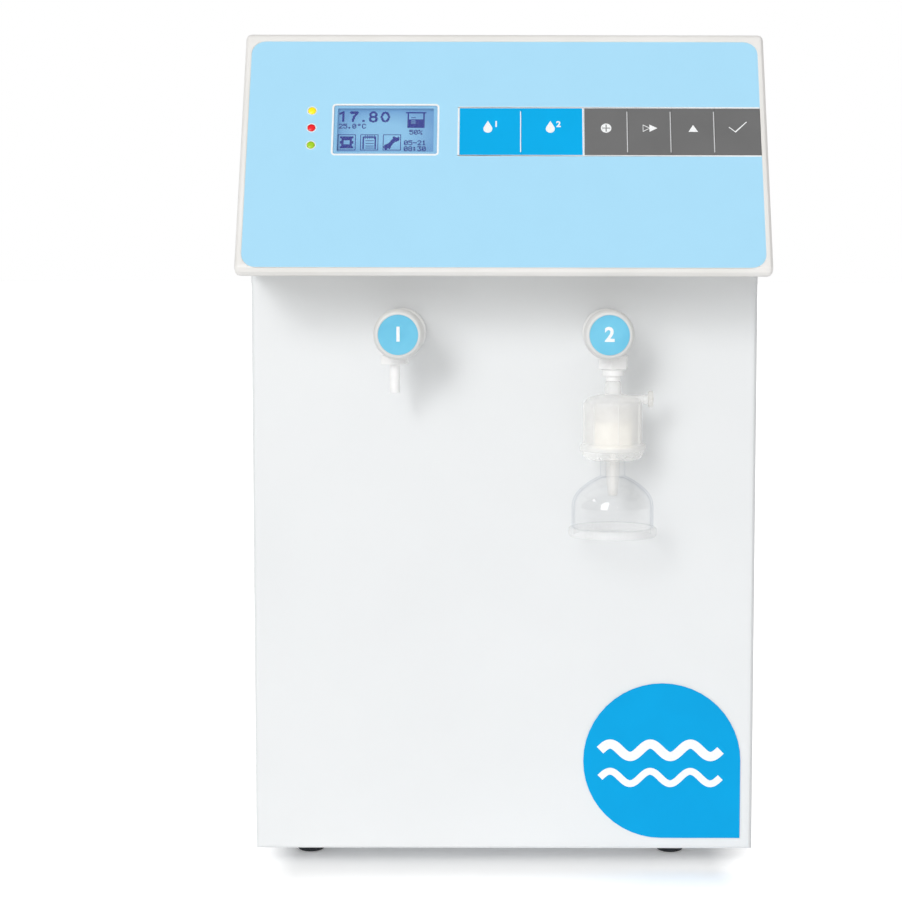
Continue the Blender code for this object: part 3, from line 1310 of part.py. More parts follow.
def membrane_housing():
    """Upright reverse osmosis housing with two stubs on its cap and a drain stub at its side."""
    y = membrane_y()
    bottom = FLOOR_Z + SEAT_GAP
    top = membrane_top() - CARTRIDGE_STUB
    chamfer = CARTRIDGE_CAP_PROUD * 2
    cap = MEMBRANE_RADIUS + CARTRIDGE_CAP_PROUD
    profile = [(0, bottom), (cap, bottom), (cap, bottom + CARTRIDGE_CAP),
               (MEMBRANE_RADIUS, bottom + CARTRIDGE_CAP), (MEMBRANE_RADIUS, top - CARTRIDGE_CAP),
               (cap, top - CARTRIDGE_CAP), (cap, top - chamfer), (cap - chamfer, top), (0, top)]
    body = turned("membrane_housing", profile, at(MEMBRANE_X, y, 0), moulded_white())
    stubs = bmesh.new()
    for offset in stub_offsets():
        profile = [(0, top - chamfer), (CARTRIDGE_STUB_RADIUS, top - chamfer),
                   (CARTRIDGE_STUB_RADIUS, membrane_top()), (0, membrane_top())]
        add_turned(stubs, profile, at(MEMBRANE_X + offset, y, 0), SMALL_SIDES)
    reach = MEMBRANE_RADIUS + VALVE_STUB
    profile = [(0, MEMBRANE_RADIUS / 2), (CARTRIDGE_STUB_RADIUS, MEMBRANE_RADIUS / 2),
               (CARTRIDGE_STUB_RADIUS, reach), (0, reach)]
    add_turned(stubs, profile, towards_right(MEMBRANE_X, y, PORT_Z), SMALL_SIDES)
    return join(body, stubs, "membrane_stubs")


def pump_axis_z():
    return FLOOR_Z + SEAT_GAP + PUMP_BASE_HEIGHT + PUMP_RADIUS


def pump_motor():
    """Booster pump's motor on its saddle."""
    front = FRONT_Y + PUMP_FRONT_IN
    rear = front + PUMP_LENGTH
    chamfer = PUMP_RADIUS / 8
    profile = [(0, 0), (PUMP_RADIUS, 0), (PUMP_RADIUS, PUMP_LENGTH - chamfer),
               (PUMP_RADIUS - chamfer, PUMP_LENGTH), (0, PUMP_LENGTH)]
    motor = turned("pump_motor", profile, towards_rear(PUMP_X, front, pump_axis_z()), black_plastic())
    saddle = bmesh.new()
    inset = PUMP_LENGTH / 8
    add_block(saddle, (PUMP_X - PUMP_BASE_WIDTH / 2, front + inset, FLOOR_Z + SEAT_GAP),
              (PUMP_X + PUMP_BASE_WIDTH / 2, rear - inset, pump_axis_z() - PUMP_RADIUS / 2))
    return join(motor, saddle, "pump_saddle")


def pump_stub_places():
    """The pump head's two stubs, as x; both stand in the middle of its length."""
    return (PUMP_X - PUMP_HEAD_SIZE / 4, PUMP_X + PUMP_HEAD_SIZE / 4)


def pump_head_top():
    return pump_axis_z() + PUMP_HEAD_SIZE / 2 + VALVE_STUB


def pump_head_y():
    return FRONT_Y + PUMP_FRONT_IN - SEAT_GAP - PUMP_HEAD_LENGTH / 2


def pump_head():
    """Diaphragm pump's head in front of the motor, with its two stubs on top."""
    half = PUMP_HEAD_SIZE / 2
    y = pump_head_y()
    z = pump_axis_z()
    bm = bmesh.new()
    low, high = y - PUMP_HEAD_LENGTH / 2, y + PUMP_HEAD_LENGTH / 2
    outline = rectangle(PUMP_X - half, PUMP_X + half, z - half, z + half, half / 4)
    stand = Matrix(((1, 0, 0, 0), (0, 0, 1, 0), (0, 1, 0, 0), (0, 0, 0, 1)))
    add_prism(bm, outline, low, high, stand)
    head = place("pump_head", bm, paint("glass_filled_nylon_grey", (0.3, 0.31, 0.33), 0.5))
    stubs = bmesh.new()
    for x in pump_stub_places():
        profile = [(0, z), (CARTRIDGE_STUB_RADIUS, z), (CARTRIDGE_STUB_RADIUS, pump_head_top()),
                   (0, pump_head_top())]
        add_turned(stubs, profile, at(x, y, 0), SMALL_SIDES)
    return join(head, stubs, "pump_head_stubs")


def power_supply():
    """Enclosed low-voltage supply on the left panel."""
    left = -HALF_WIDTH + SHEET + SEAT_GAP
    rear = REAR_Y - SUPPLY_REAR_IN
    bm = bmesh.new()
    add_block(bm, (left, rear - SUPPLY_LENGTH, SUPPLY_Z), (left + SUPPLY_THICK, rear, SUPPLY_Z + SUPPLY_HEIGHT))
    return place("power_supply", bm, paint("aluminium_case", (0.7, 0.7, 0.7), 0.45, 1.0))


def valve_y():
    """Middle of the solenoid valves, which sit on the outlets' tails."""
    return FRONT_Y + OUTLET_TAIL + SEAT_GAP + VALVE_LENGTH / 2


def dispense_valve(name, x):
    """Solenoid valve behind an outlet: a block, an upright coil and an inlet stub on its right."""
    y = valve_y()
    half = Vector((VALVE_WIDTH / 2, VALVE_LENGTH / 2, VALVE_HEIGHT / 2))
    centre = Vector((x, y, OUTLET_Z))
    bm = bmesh.new()
    add_block(bm, centre - half, centre + half)
    valve = place(name, bm, paint("valve_nylon_white", (0.8, 0.8, 0.78), 0.4))
    coil = bmesh.new()
    top = half.z + COIL_HEIGHT
    add_turned(coil, [(0, 0), (COIL_RADIUS, 0), (COIL_RADIUS, top), (0, top)], at(*centre), SMALL_SIDES)
    join(valve, coil, name + "_coil")
    stub = bmesh.new()
    reach = half.x + VALVE_STUB
    profile = [(0, 0), (CARTRIDGE_STUB_RADIUS, 0), (CARTRIDGE_STUB_RADIUS, reach), (0, reach)]
    add_turned(stub, profile, towards_right(*centre), SMALL_SIDES)
    return join(valve, stub, name + "_inlet")


# Tubing
def bent(points, radius):
    """A path through the points with each inner corner turned on an arc."""
    path = [Vector(points[0])]
    for i in range(1, len(points) - 1):
        corner = Vector(points[i])
        back = (Vector(points[i - 1]) - corner).normalized()
        ahead = (Vector(points[i + 1]) - corner).normalized()
        half = back.angle(ahead) / 2
        middle = (back + ahead).normalized()
        centre = corner + middle * (radius / math.sin(half))
        start = corner + back * (radius / math.tan(half)) - centre
        end = corner + ahead * (radius / math.tan(half)) - centre
        whole = start.angle(end)
        for k in range(ARC_STEPS + 1):
            t = k / ARC_STEPS
            share = (math.sin((1 - t) * whole) * start + math.sin(t * whole) * end) / math.sin(whole)
            path.append(centre + share)
    path.append(Vector(points[-1]))
    return path


def add_tube(bm, path, sides=TUBE_SIDES):
    """A round tube along a path, closed at both ends."""
    rings = []
    across = None
    for i, point in enumerate(path):
        ahead = (path[min(i + 1, len(path) - 1)] - path[max(i - 1, 0)]).normalized()
        if across is None:
            across = ahead.orthogonal().normalized()
        across = (across - ahead * across.dot(ahead)).normalized()
        other = ahead.cross(across)
        angles = [2 * math.pi * k / sides for k in range(sides)]
        rings.append([bm.verts.new(point + (across * math.cos(a) + other * math.sin(a)) * TUBE_RADIUS)
                      for a in angles])
    for lower, upper in zip(rings, rings[1:]):
        for k in range(sides):
            n = (k + 1) % sides
            bm.faces.new((lower[k], lower[n], upper[n], upper[k]))
    bm.faces.new(list(reversed(rings[0])))
    bm.faces.new(rings[-1])


def tube_routes():
    """The water's way through the machine: the corners of each tube, by name."""
    gap = SEAT_GAP
    front, rear = cartridge_places()
    near, far = stub_offsets()
    top = cartridge_top() + gap
    low = top + CARTRIDGE_PITCH / 2
    high = low + CARTRIDGE_PITCH / 2
    drain_x, feed_x = port_places()
    tail = REAR_Y - PORT_TAIL - gap
    lane = (rear + CARTRIDGE_RADIUS + tail) / 2
    membrane = membrane_y()
    membrane_end = membrane_top() + gap
    pump_out, pump_in = pump_stub_places()
    pump_y, pump_end = pump_head_y(), pump_head_top() + gap
    valve_end = VALVE_WIDTH / 2 + VALVE_STUB + gap
    x = CARTRIDGE_X
    return {
        "feed_tube": [(feed_x, tail, PORT_Z), (feed_x, lane, PORT_Z), (feed_x, lane, low), (x, rear + far, low),
                      (x, rear + far, top)],
        "pump_inlet_tube": [(x, rear + near, top), (x, rear + near, low), (pump_in, pump_y, low),
                            (pump_in, pump_y, pump_end)],
        "pump_outlet_tube": [(pump_out, pump_y, pump_end), (pump_out, pump_y, high),
                             (MEMBRANE_X + near, membrane, high), (MEMBRANE_X + near, membrane, membrane_end)],
        "product_tube": [(MEMBRANE_X + far, membrane, membrane_end), (MEMBRANE_X + far, membrane, high),
                         (x, front + far, high), (x, front + far, top)],
        "pure_water_tube": [(x, front + near, top), (x, front + near, OUTLET_Z), (x, valve_y(), OUTLET_Z),
                            (OUTLET_X + valve_end, valve_y(), OUTLET_Z)],
        "drain_tube": [(MEMBRANE_X + MEMBRANE_RADIUS + VALVE_STUB + gap, membrane, PORT_Z),
                       (drain_x, membrane, PORT_Z), (drain_x, tail, PORT_Z)],
    }


def product_branch(run):
    """Corners of the branch from the middle of the product tube's long run down to the first valve."""
    start = (Vector(run[1]) + Vector(run[2])) / 2
    end = valve_y()
    x = VALVE_WIDTH / 2 + VALVE_STUB + SEAT_GAP - OUTLET_X
    return [start, (0, end, start.z), (0, end, OUTLET_Z), (x, end, OUTLET_Z)]


def tubing():
    """Push-in tubes between the ports, the pump, the cartridges, the membrane and the valves."""
    for name, corners in tube_routes().items():
        bm = bmesh.new()
        add_tube(bm, bent(corners, TUBE_RADIUS * 3))
        tube = place(name, bm, paint("polyethylene_tube_white", (0.86, 0.88, 0.9), 0.35))
        if name == "product_tube":
            branch = bmesh.new()
            add_tube(branch, bent(product_branch(corners), TUBE_RADIUS * 3))
            join(tube, branch, "product_tube_branch")


def casing():
    base_tray()
    feet()
    front_panel()
    left_panel()
    rear_panel()
    top_cover()
    side_door()
    door_pull()
    door_catch()


def control_head():
    head_shell()
    control_overlay()
    display_window()
    display_module()
    control_board()
    lamps()
    keys()


def outlets():
    for number, x in ((1, -OUTLET_X), (2, OUTLET_X)):
        outlet_body(f"outlet_body_{number}", x)
        outlet_knob(f"outlet_knob_{number}", x)
        knob_label(f"knob_label_{number}", x)
    outlet_nut()
    outlet_spout()
    swivel_nut()


def final_filter():
    filter_capsule()
    vent_cap()
    filter_core()
    filter_base()
    filling_bell()


def rear_fittings():
    for name, x in zip(("drain_port", "feed_port"), port_places()):
        tube_port(name, x)
    mains_inlet()
    power_rocker()


def machinery():
    cartridge_rack()
    colours = (("ion_exchange_cartridge", (0.9, 0.78, 0.5)), ("pretreatment_cartridge", (0.8, 0.85, 0.9)))
    for (name, colour), y in zip(colours, cartridge_places()):
        cartridge(name, y, paint(name + "_shell", colour, 0.4))
    membrane_housing()
    pump_motor()
    pump_head()
    power_supply()
    dispense_valve("dispense_valve_1", -OUTLET_X)
    dispense_valve("dispense_valve_2", OUTLET_X)
    tubing()


clear_scene()
casing()
control_head()
badge()
outlets()
final_filter()
rear_fittings()
machinery()
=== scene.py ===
"""The looks of a bench water purifier: a folded-steel cabinet, a sloped control head and two outlets."""
import json
import math

import bmesh
import bpy
from mathutils import Matrix, Vector


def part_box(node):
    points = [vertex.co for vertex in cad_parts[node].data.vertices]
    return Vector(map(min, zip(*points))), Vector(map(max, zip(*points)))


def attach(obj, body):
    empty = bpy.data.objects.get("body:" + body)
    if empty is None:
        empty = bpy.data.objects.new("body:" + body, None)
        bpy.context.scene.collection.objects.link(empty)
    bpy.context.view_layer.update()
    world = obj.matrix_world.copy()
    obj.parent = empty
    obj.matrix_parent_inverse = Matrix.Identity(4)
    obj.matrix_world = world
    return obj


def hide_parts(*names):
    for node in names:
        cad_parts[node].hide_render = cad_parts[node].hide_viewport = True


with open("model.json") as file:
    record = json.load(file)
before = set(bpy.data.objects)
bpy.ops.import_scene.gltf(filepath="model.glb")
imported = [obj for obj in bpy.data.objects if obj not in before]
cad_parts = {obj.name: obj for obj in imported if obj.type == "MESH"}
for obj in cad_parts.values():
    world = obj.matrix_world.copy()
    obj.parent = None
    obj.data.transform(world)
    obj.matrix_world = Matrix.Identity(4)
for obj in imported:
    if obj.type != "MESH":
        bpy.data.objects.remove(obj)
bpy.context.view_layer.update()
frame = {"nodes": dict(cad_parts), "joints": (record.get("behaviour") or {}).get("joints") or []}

# Camera
# A long lens about 1.4 m in front of the cabinet and 9 mm right of its middle, looking slightly down. Its
# sideways shift sets the machine a little right in the picture, as the photograph does.
def placed(name, data):
    """A new object in the scene, for a mesh, a lamp or other data."""
    made = bpy.data.objects.new(name, data)
    bpy.context.scene.collection.objects.link(made)
    return made


panel_low, panel_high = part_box("front_panel")
front_y = panel_low.y
camera_right, camera_ahead, camera_height = 0.00867, 1.4252, 0.4087
camera_pitch, camera_roll = math.radians(5.123), math.radians(0.097)
camera = placed("camera", bpy.data.cameras.new("camera"))
camera.data.lens = 86.99
camera.data.sensor_width = 36
camera.data.shift_x = -0.0737
camera.location = (camera_right, front_y - camera_ahead, camera_height)
turn = Matrix.Rotation(math.pi / 2 - camera_pitch, 3, "X") @ Matrix.Rotation(camera_roll, 3, "Z")
camera.rotation_euler = turn.to_euler()
bpy.context.scene.camera = camera
bpy.context.scene.view_settings.view_transform = "Standard"


# Studio light
# A white tent for fill, brightest in front, dark at the sides and half as bright behind, two soft lamps at
# the left for the shadows beside the outlets, and a weaker one farther round. The camera sees plain white.
def linear(code):
    """An sRGB hex code as linear red, green, blue and alpha."""
    parts = [int(code[i:i + 2], 16) / 255 for i in (1, 3, 5)]
    return tuple(c / 12.92 if c <= 0.04045 else ((c + 0.055) / 1.055) ** 2.4 for c in parts) + (1.0,)


def add(tree, kind, inputs=None, **settings):
    """Adds a node. An input may be a value, another node's socket, or a node, for its first output."""
    made = tree.nodes.new(kind)
    for key, value in settings.items():
        setattr(made, key, value)
    for key, value in (inputs or {}).items():
        if isinstance(value, bpy.types.Node):
            value = value.outputs[0]
        if isinstance(value, bpy.types.NodeSocket):
            tree.links.new(value, made.inputs[key])
        else:
            made.inputs[key].default_value = value
    return made


def lamp_sun(name, strength, azimuth, elevation, spread):
    """A distant white lamp. Azimuth 0 shines from the front, and a positive one from the left."""
    lamp = placed(name, bpy.data.lights.new(name, "SUN"))
    lamp.data.energy = strength
    lamp.data.angle = math.radians(spread)
    a, e = math.radians(azimuth), math.radians(elevation)
    towards = Vector((-math.sin(a) * math.cos(e), -math.cos(a) * math.cos(e), math.sin(e)))
    lamp.rotation_euler = towards.to_track_quat("Z", "Y").to_euler()


WHITE = linear("#FFFFFF")
lamp_sun("broad_key_light", 0.69, 26, 17, 22)
lamp_sun("high_key_light", 0.48, 20, 27, 16)
lamp_sun("side_glint", 0.16, 70, 40, 9)
in_front, beside, behind, overhead = 0.83, 0.02, 0.5, 0.22
world = bpy.data.worlds.new("white_tent")
bpy.context.scene.world = world
world.use_nodes = True
tent = world.node_tree
tent.nodes.clear()
way = add(tent, "ShaderNodeSeparateXYZ", {0: add(tent, "ShaderNodeTexCoord").outputs["Generated"]})
depth = add(tent, "ShaderNodeMath", {0: way.outputs["Y"], 1: 0.5, 2: 0.5}, operation="MULTIPLY_ADD")
around = add(tent, "ShaderNodeFloatCurve", {"Value": depth})
stops = around.mapping.curves[0].points
for k, strength in enumerate((in_front, beside, behind)):
    stop = stops[k] if k < len(stops) else stops.new(1, strength)
    stop.location = (k / 2, strength)
    stop.handle_type = "VECTOR"
around.mapping.update()
above = add(tent, "ShaderNodeMath", {0: way.outputs["Z"], 1: 0}, operation="MAXIMUM")
total = add(tent, "ShaderNodeMath", {0: above, 1: overhead, 2: around}, operation="MULTIPLY_ADD")
fill = add(tent, "ShaderNodeBackground", {"Color": WHITE, "Strength": total})
seen = add(tent, "ShaderNodeBackground", {"Color": WHITE, "Strength": 1.0})
eye = add(tent, "ShaderNodeLightPath").outputs["Is Camera Ray"]
either = add(tent, "ShaderNodeMixShader", {0: eye, 1: fill, 2: seen})
add(tent, "ShaderNodeOutputWorld", {"Surface": either})


# Floor
# A sheet of white studio paper on a lit table, wide enough that its far edge is lost in the white behind it.
# Most of its glow shows to the camera only. It is painted light that whites out the lamps' shadows away from the
# base and at the base's ends, and fades out in front of the base's middle, where the shadow is left.
def grain(tree, size_mm, detail=3.0, stretch=(1, 1, 1)):
    """Noise whose cells are about size_mm across, on the piece's own coordinates in metres."""
    place = add(tree, "ShaderNodeTexCoord").outputs["Object"]
    scaled = add(tree, "ShaderNodeMapping", {"Vector": place, "Scale": stretch})
    return add(tree, "ShaderNodeTexNoise", {"Vector": scaled, "Scale": 1000 / size_mm, "Detail": detail})


def bump(tree, shader, height, depth_mm, strength=1.0):
    """Raises the surface by a pattern, depth_mm deep."""
    relief = add(tree, "ShaderNodeBump", {"Height": height, "Strength": strength, "Distance": depth_mm / 1000})
    tree.links.new(relief.outputs[0], shader.inputs["Normal"])


slots = {}


def surface(name, slot, rough, pattern, first, second, relief=None, worn=None, metal=0.0, ends=(0.35, 0.65), **more):
    """A material and the record's slot for it. A pattern, as grain takes it, mixes two near colours.

    Relief is a pattern with its depth in mm and strength, and worn a pattern with the roughnesses it varies
    between. More gives the shader's own sockets, with _ for each space.
    """
    material = bpy.data.materials.new(name)
    slots[material.name] = slot
    material.use_nodes = True
    tree = material.node_tree
    shader = tree.nodes["Principled BSDF"]
    for key, value in {"Base Color": linear(first), "Roughness": rough, "Metallic": metal, **more}.items():
        shader.inputs[key.replace("_", " ")].default_value = value
    wanted = {pattern, *(part[0] for part in (relief, worn) if part)}
    made = {each: grain(tree, *each) for each in sorted(wanted)}
    ramp = add(tree, "ShaderNodeValToRGB", {"Fac": made[pattern]})
    for element, position, colour in zip(ramp.color_ramp.elements, ends, (first, second)):
        element.position = position
        element.color = linear(colour)
    tree.links.new(ramp.outputs[0], shader.inputs["Base Color"])
    if relief:
        bump(tree, shader, made[relief[0]], *relief[1:])
    if worn:
        ranged = add(tree, "ShaderNodeMapRange", {"Value": made[worn[0]], "From Min": 0.3, "From Max": 0.7,
                                                  "To Min": worn[1], "To Max": worn[2]})
        tree.links.new(ranged.outputs[0], shader.inputs["Roughness"])
    return material


paper = surface("studio_paper_white", None, 0.9, (4,), "#F9F9F9", "#FCFCFC", ((4,), 0.05), Emission_Color=WHITE)
tree = paper.node_tree
# The painted light starts at the base's outline, drawn in from its corners and pulled in faster at its ends.
near_glow, far_glow, glow_from, glow_to = 0.18, 0.65, 0.008, 0.10
corner_inset, side_pull = 0.028, 2.5
away = add(tree, "ShaderNodeTexCoord").outputs["Object"]
for operation, amount in (("ABSOLUTE", (0, 0, 0)), ("SUBTRACT", (panel_high.x - corner_inset, abs(panel_low.y), 0)),
                          ("MAXIMUM", (0, 0, 0)), ("MULTIPLY", (side_pull, 1, 1)), ("LENGTH", (0, 0, 0))):
    away = add(tree, "ShaderNodeVectorMath", {0: away, 1: amount}, operation=operation)
far = add(tree, "ShaderNodeMapRange", {"Value": away.outputs["Value"], "From Min": glow_from, "From Max": glow_to,
                                       "To Min": 0, "To Max": far_glow})
eye = add(tree, "ShaderNodeLightPath").outputs["Is Camera Ray"]
lit = add(tree, "ShaderNodeMath", {0: eye, 1: far, 2: near_glow}, operation="MULTIPLY_ADD")
tree.links.new(lit.outputs[0], tree.nodes["Principled BSDF"].inputs["Emission Strength"])
floor_half = 30
sheet = bpy.data.meshes.new("floor")
sheet.from_pydata([(x * floor_half, y * floor_half, 0) for x, y in ((-1, -1), (1, -1), (1, 1), (-1, 1))], [],
                  [(0, 1, 2, 3)])
sheet.materials.append(paper)
placed("floor", sheet)


# Cabinet panels
# Folded from 1.2 mm sheet steel and powder coated white: satin, with a faint orange peel about 1.6 mm
# across, and very slightly rounded folds and cut edges.
def finished(name, bm, material, *nodes, body="cabinet"):
    """Makes a piece from bm: gives it its material and its body, and hides the CAD nodes that it stands for."""
    bmesh.ops.recalc_face_normals(bm, faces=bm.faces)
    mesh = bpy.data.meshes.new(name)
    bm.to_mesh(mesh)
    bm.free()
    mesh.shade_smooth()
    mesh.set_sharp_from_angle(angle=math.radians(35))
    mesh.materials.append(material)
    piece = placed(name, mesh)
    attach(piece, body)
    if nodes:
        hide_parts(*nodes)
    return piece


def weigh_normals(mesh, angle=47):
    """Weighs each corner's normal by the areas of the faces that meet there, so that flat faces stay flat."""
    normals = [face.normal * face.area for face in mesh.polygons]
    meeting = [[] for _ in mesh.vertices]
    for face in mesh.polygons:
        for v in face.vertices:
            meeting[v].append(face.index)
    limit = math.radians(angle)
    corners = []
    for face in mesh.polygons:
        near = {k: normals[k].angle(face.normal, 0) < limit for v in face.vertices for k in meeting[v]}
        corners += [sum((normals[k] for k in meeting[v] if near[k]), Vector()).normalized() for v in face.vertices]
    mesh.normals_split_custom_set(corners)


def dressed(node, material, edge_mm=0.3, steps=2, body="cabinet", least=28):
    """A finer copy of a CAD node: flat faces whole again, edges sharper than least degrees broken by edge_mm."""
    bm = bmesh.new()
    bm.from_mesh(frame["nodes"][node].data)
    bmesh.ops.remove_doubles(bm, verts=bm.verts, dist=1e-6)
    bmesh.ops.dissolve_limit(bm, angle_limit=math.radians(1), verts=bm.verts, edges=bm.edges)
    sharp = [e for e in bm.edges if len(e.link_faces) == 2 and e.calc_face_angle(0) > math.radians(least)]
    bmesh.ops.bevel(bm, geom=sharp, offset=edge_mm / 1000, segments=steps, affect="EDGES", profile=0.5,
                    clamp_overlap=True, loop_slide=False)
    piece = finished(node + "_finished", bm, material, node, body=body)
    weigh_normals(piece.data)


peel = (1.6, 2)
coat = surface("powder_coated_steel", "powder_coated_steel_white", 0.42, (90, 2), "#E8EAEB", "#EAECED",
               worn=(peel, 0.38, 0.48), ends=(0.3, 0.7), Specular_IOR_Level=0.4)
tree = coat.node_tree
both = add(tree, "ShaderNodeMath", {0: grain(tree, *peel), 1: grain(tree, 0.5, 1)}, operation="ADD")
bump(tree, tree.nodes["Principled BSDF"], both, 0.02, 0.35)
for node in ("front_panel", "left_panel", "rear_panel", "top_cover"):
    dressed(node, coat)
dressed("side_door", coat, body="service_door")


# Base tray and cartridge rack
# The folded tray that everything stands on, and the rack that keeps the cartridges upright. Both are left
# in zinc plate: a dull metal with cloudy spangle about 12 mm across and rolling lines.
rolled = (0.6, 2, (1, 0.04, 1))
zinc = surface("zinc_plated_sheet", "zinc_plated_steel", 0.38, (12, 2), "#BFC4CA", "#D3D6D8", (rolled, 0.01, 0.3),
               (rolled, 0.32, 0.5), 1.0)
for node in ("base_tray", "cartridge_rack"):
    dressed(node, zinc, 0.2, 1)


# Rear screws
# Six M4 pan-head screws with cross slots, in bright zinc plate, hold the rear panel to the flanges of
# the side, tray and top. Each is driven home through a plain hole.
def mm(*points):
    """Flat points given in millimetres, in metres."""
    return [(x / 1000, y / 1000) for x, y in points]


def prism(bm, outline, low, high, place):
    """Raises a flat outline from low to high on the plane that place sets."""
    loops = [[bm.verts.new(place @ Vector((x, y, z))) for x, y in outline] for z in (low, high)]
    bm.faces.new(loops[0])
    bm.faces.new(loops[1])
    for k in range(len(outline)):
        n = (k + 1) % len(outline)
        bm.faces.new((loops[0][k], loops[0][n], loops[1][n], loops[1][k]))


def lathe(bm, profile, place, sides=64):
    """Turns a profile of (radius, along) about place's Z. One that leaves the axis open is a tube's wall."""
    rings = []
    for radius, along in profile:
        angles = [math.tau * k / sides for k in range(sides if radius > 1e-7 else 1)]
        rings.append([bm.verts.new(place @ Vector((radius * math.cos(a), radius * math.sin(a), along)))
                      for a in angles])
    pairs = list(zip(rings, rings[1:]))
    if len(rings[0]) > 1 and len(rings[-1]) > 1:
        pairs.append((rings[-1], rings[0]))
    for a, b in pairs:
        for k in range(sides):
            n = (k + 1) % sides
            corners = list(dict.fromkeys((a[k % len(a)], a[n % len(a)], b[n % len(b)], b[k % len(b)])))
            if len(corners) > 2:
                bm.faces.new(corners)


def group(name, **inputs):
    """A new Geometry Nodes tree with these inputs and a mesh as output, and its inputs' sockets."""
    made = bpy.data.node_groups.new(name, "GeometryNodeTree")
    for title, kind in inputs.items():
        made.interface.new_socket(title, in_out="INPUT", socket_type="NodeSocket" + kind)
    made.interface.new_socket("Mesh", in_out="OUTPUT", socket_type="NodeSocketGeometry")
    return made, add(made, "NodeGroupInput").outputs


def give_out(made, source, finish):
    """Ends a Geometry Nodes tree with one plain mesh in its finish."""
    real = add(made, "GeometryNodeRealizeInstances", {"Geometry": source})
    painted = add(made, "GeometryNodeSetMaterial", {"Geometry": real, "Material": finish})
    add(made, "NodeGroupOutput", {"Mesh": painted})


def grown(mesh, tree, **values):
    """The plain mesh that a Geometry Nodes tree makes of a mesh with these values for its inputs."""
    host = placed("host", mesh)
    modifier = host.modifiers.new("grown", "NODES")
    modifier.node_group = tree
    sockets = {s.name: s.identifier for s in tree.interface.items_tree if s.in_out == "INPUT"}
    for title, value in values.items():
        modifier[sockets[title]] = value
    made = bpy.data.meshes.new_from_object(host.evaluated_get(bpy.context.evaluated_depsgraph_get()))
    host.modifiers.remove(modifier)
    bpy.data.objects.remove(host)
    bm = bmesh.new()
    bm.from_mesh(made)
    return bm


def set_out(name, item, points, material, turns=(), size=1.0):
    """Sets an item's mesh on the points, each turned as said, and makes one piece of them."""
    bmesh.ops.recalc_face_normals(item, faces=item.faces)
    item_mesh = bpy.data.meshes.new("item")
    item.to_mesh(item_mesh)
    item.free()
    pattern = bpy.data.objects.new("item", item_mesh)
    cloud = bpy.data.meshes.new("points")
    cloud.from_pydata([tuple(point) for point in points], [], [])
    turn = cloud.attributes.new("turn", "FLOAT_VECTOR", "POINT")
    for k, euler in enumerate(turns):
        turn.data[k].vector = euler
    bm = grown(cloud, setter, Item=pattern, Size=size, Finish=material)
    bpy.data.objects.remove(pattern)
    finished(name, bm, material)


setter, given = group("set_on_points", Points="Geometry", Item="Object", Size="Float", Finish="Material")
item = add(setter, "GeometryNodeObjectInfo", {"Object": given["Item"]}).outputs["Geometry"]
turned_by = add(setter, "GeometryNodeInputNamedAttribute", {"Name": "turn"}, data_type="FLOAT_VECTOR")
items = add(setter, "GeometryNodeInstanceOnPoints", {
    "Points": given["Points"], "Instance": item, "Rotation": turned_by.outputs["Attribute"], "Scale": given["Size"]})
give_out(setter, items, given["Finish"])

FORWARDS = Matrix.Rotation(math.pi / 2, 4, "X")
BACKWARDS = Matrix.Rotation(-math.pi / 2, 4, "X")
screw_x, screw_inset = 0.1565, 0.0082
rear_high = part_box("rear_panel")[1]
rows = (panel_low.z + screw_inset, (panel_low.z + rear_high.z) / 2, rear_high.z - screw_inset)
screw_head = mm((0, -1), (2, -1), (2, 0.1), (3.7, 0.1), (3.75, 0.6), (3.5, 1.3), (2.9, 1.9), (2.0, 2.2), (1.5, 2.3),
                (1.3, 1.4), (0, 1.2))
screw = bmesh.new()
lathe(screw, screw_head, BACKWARDS, 28)
for k in range(4):
    prism(screw, mm((1.2, -0.3), (2.4, -0.3), (2.4, 0.3), (1.2, 0.3)), 0.0012, 0.00225,
          Matrix.Rotation(k * math.pi / 2, 4, "Y") @ BACKWARDS)
# Clear-passivated zinc on a steel screw: a bright metal, slightly mottled.
mottled = (0.8, 1)
screw_zinc = surface("bright_zinc_screw", "zinc_plated_steel", 0.3, mottled, "#B7BCC2", "#CED1D3",
                     worn=(mottled, 0.25, 0.4), metal=1.0)
set_out("rear_screws", screw, [(x, rear_high.y, z) for x in (-screw_x, screw_x) for z in rows], screw_zinc)


# Feet
# Moulded black rubber buttons screwed up under the tray, near black and dull with a fine matt bloom, and
# domed to a small flat sole round the screw's hole.
def middle_of(node):
    """The middle of a CAD node's box."""
    low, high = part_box(node)
    return (low + high) / 2


def upright(node, z=0.0):
    """The place at a height on the upright through a CAD node's middle."""
    return Matrix.Translation((middle_of(node).x, middle_of(node).y, z))


def arc(x, y, wide, tall, start, end, steps=16):
    """Points along part of an ellipse about (x, y), from one angle in degrees to another."""
    angles = [math.radians(start + (end - start) * k / steps) for k in range(steps + 1)]
    return [(x + wide * math.cos(a), y + tall * math.sin(a)) for a in angles]


def turned(name, profile, place, material, *nodes, sides=48, body="cabinet"):
    """A piece turned from a profile about place's Z."""
    bm = bmesh.new()
    lathe(bm, profile, place, sides)
    bmesh.ops.remove_doubles(bm, verts=bm.verts, dist=1e-6)
    finished(name, bm, material, *nodes, body=body)


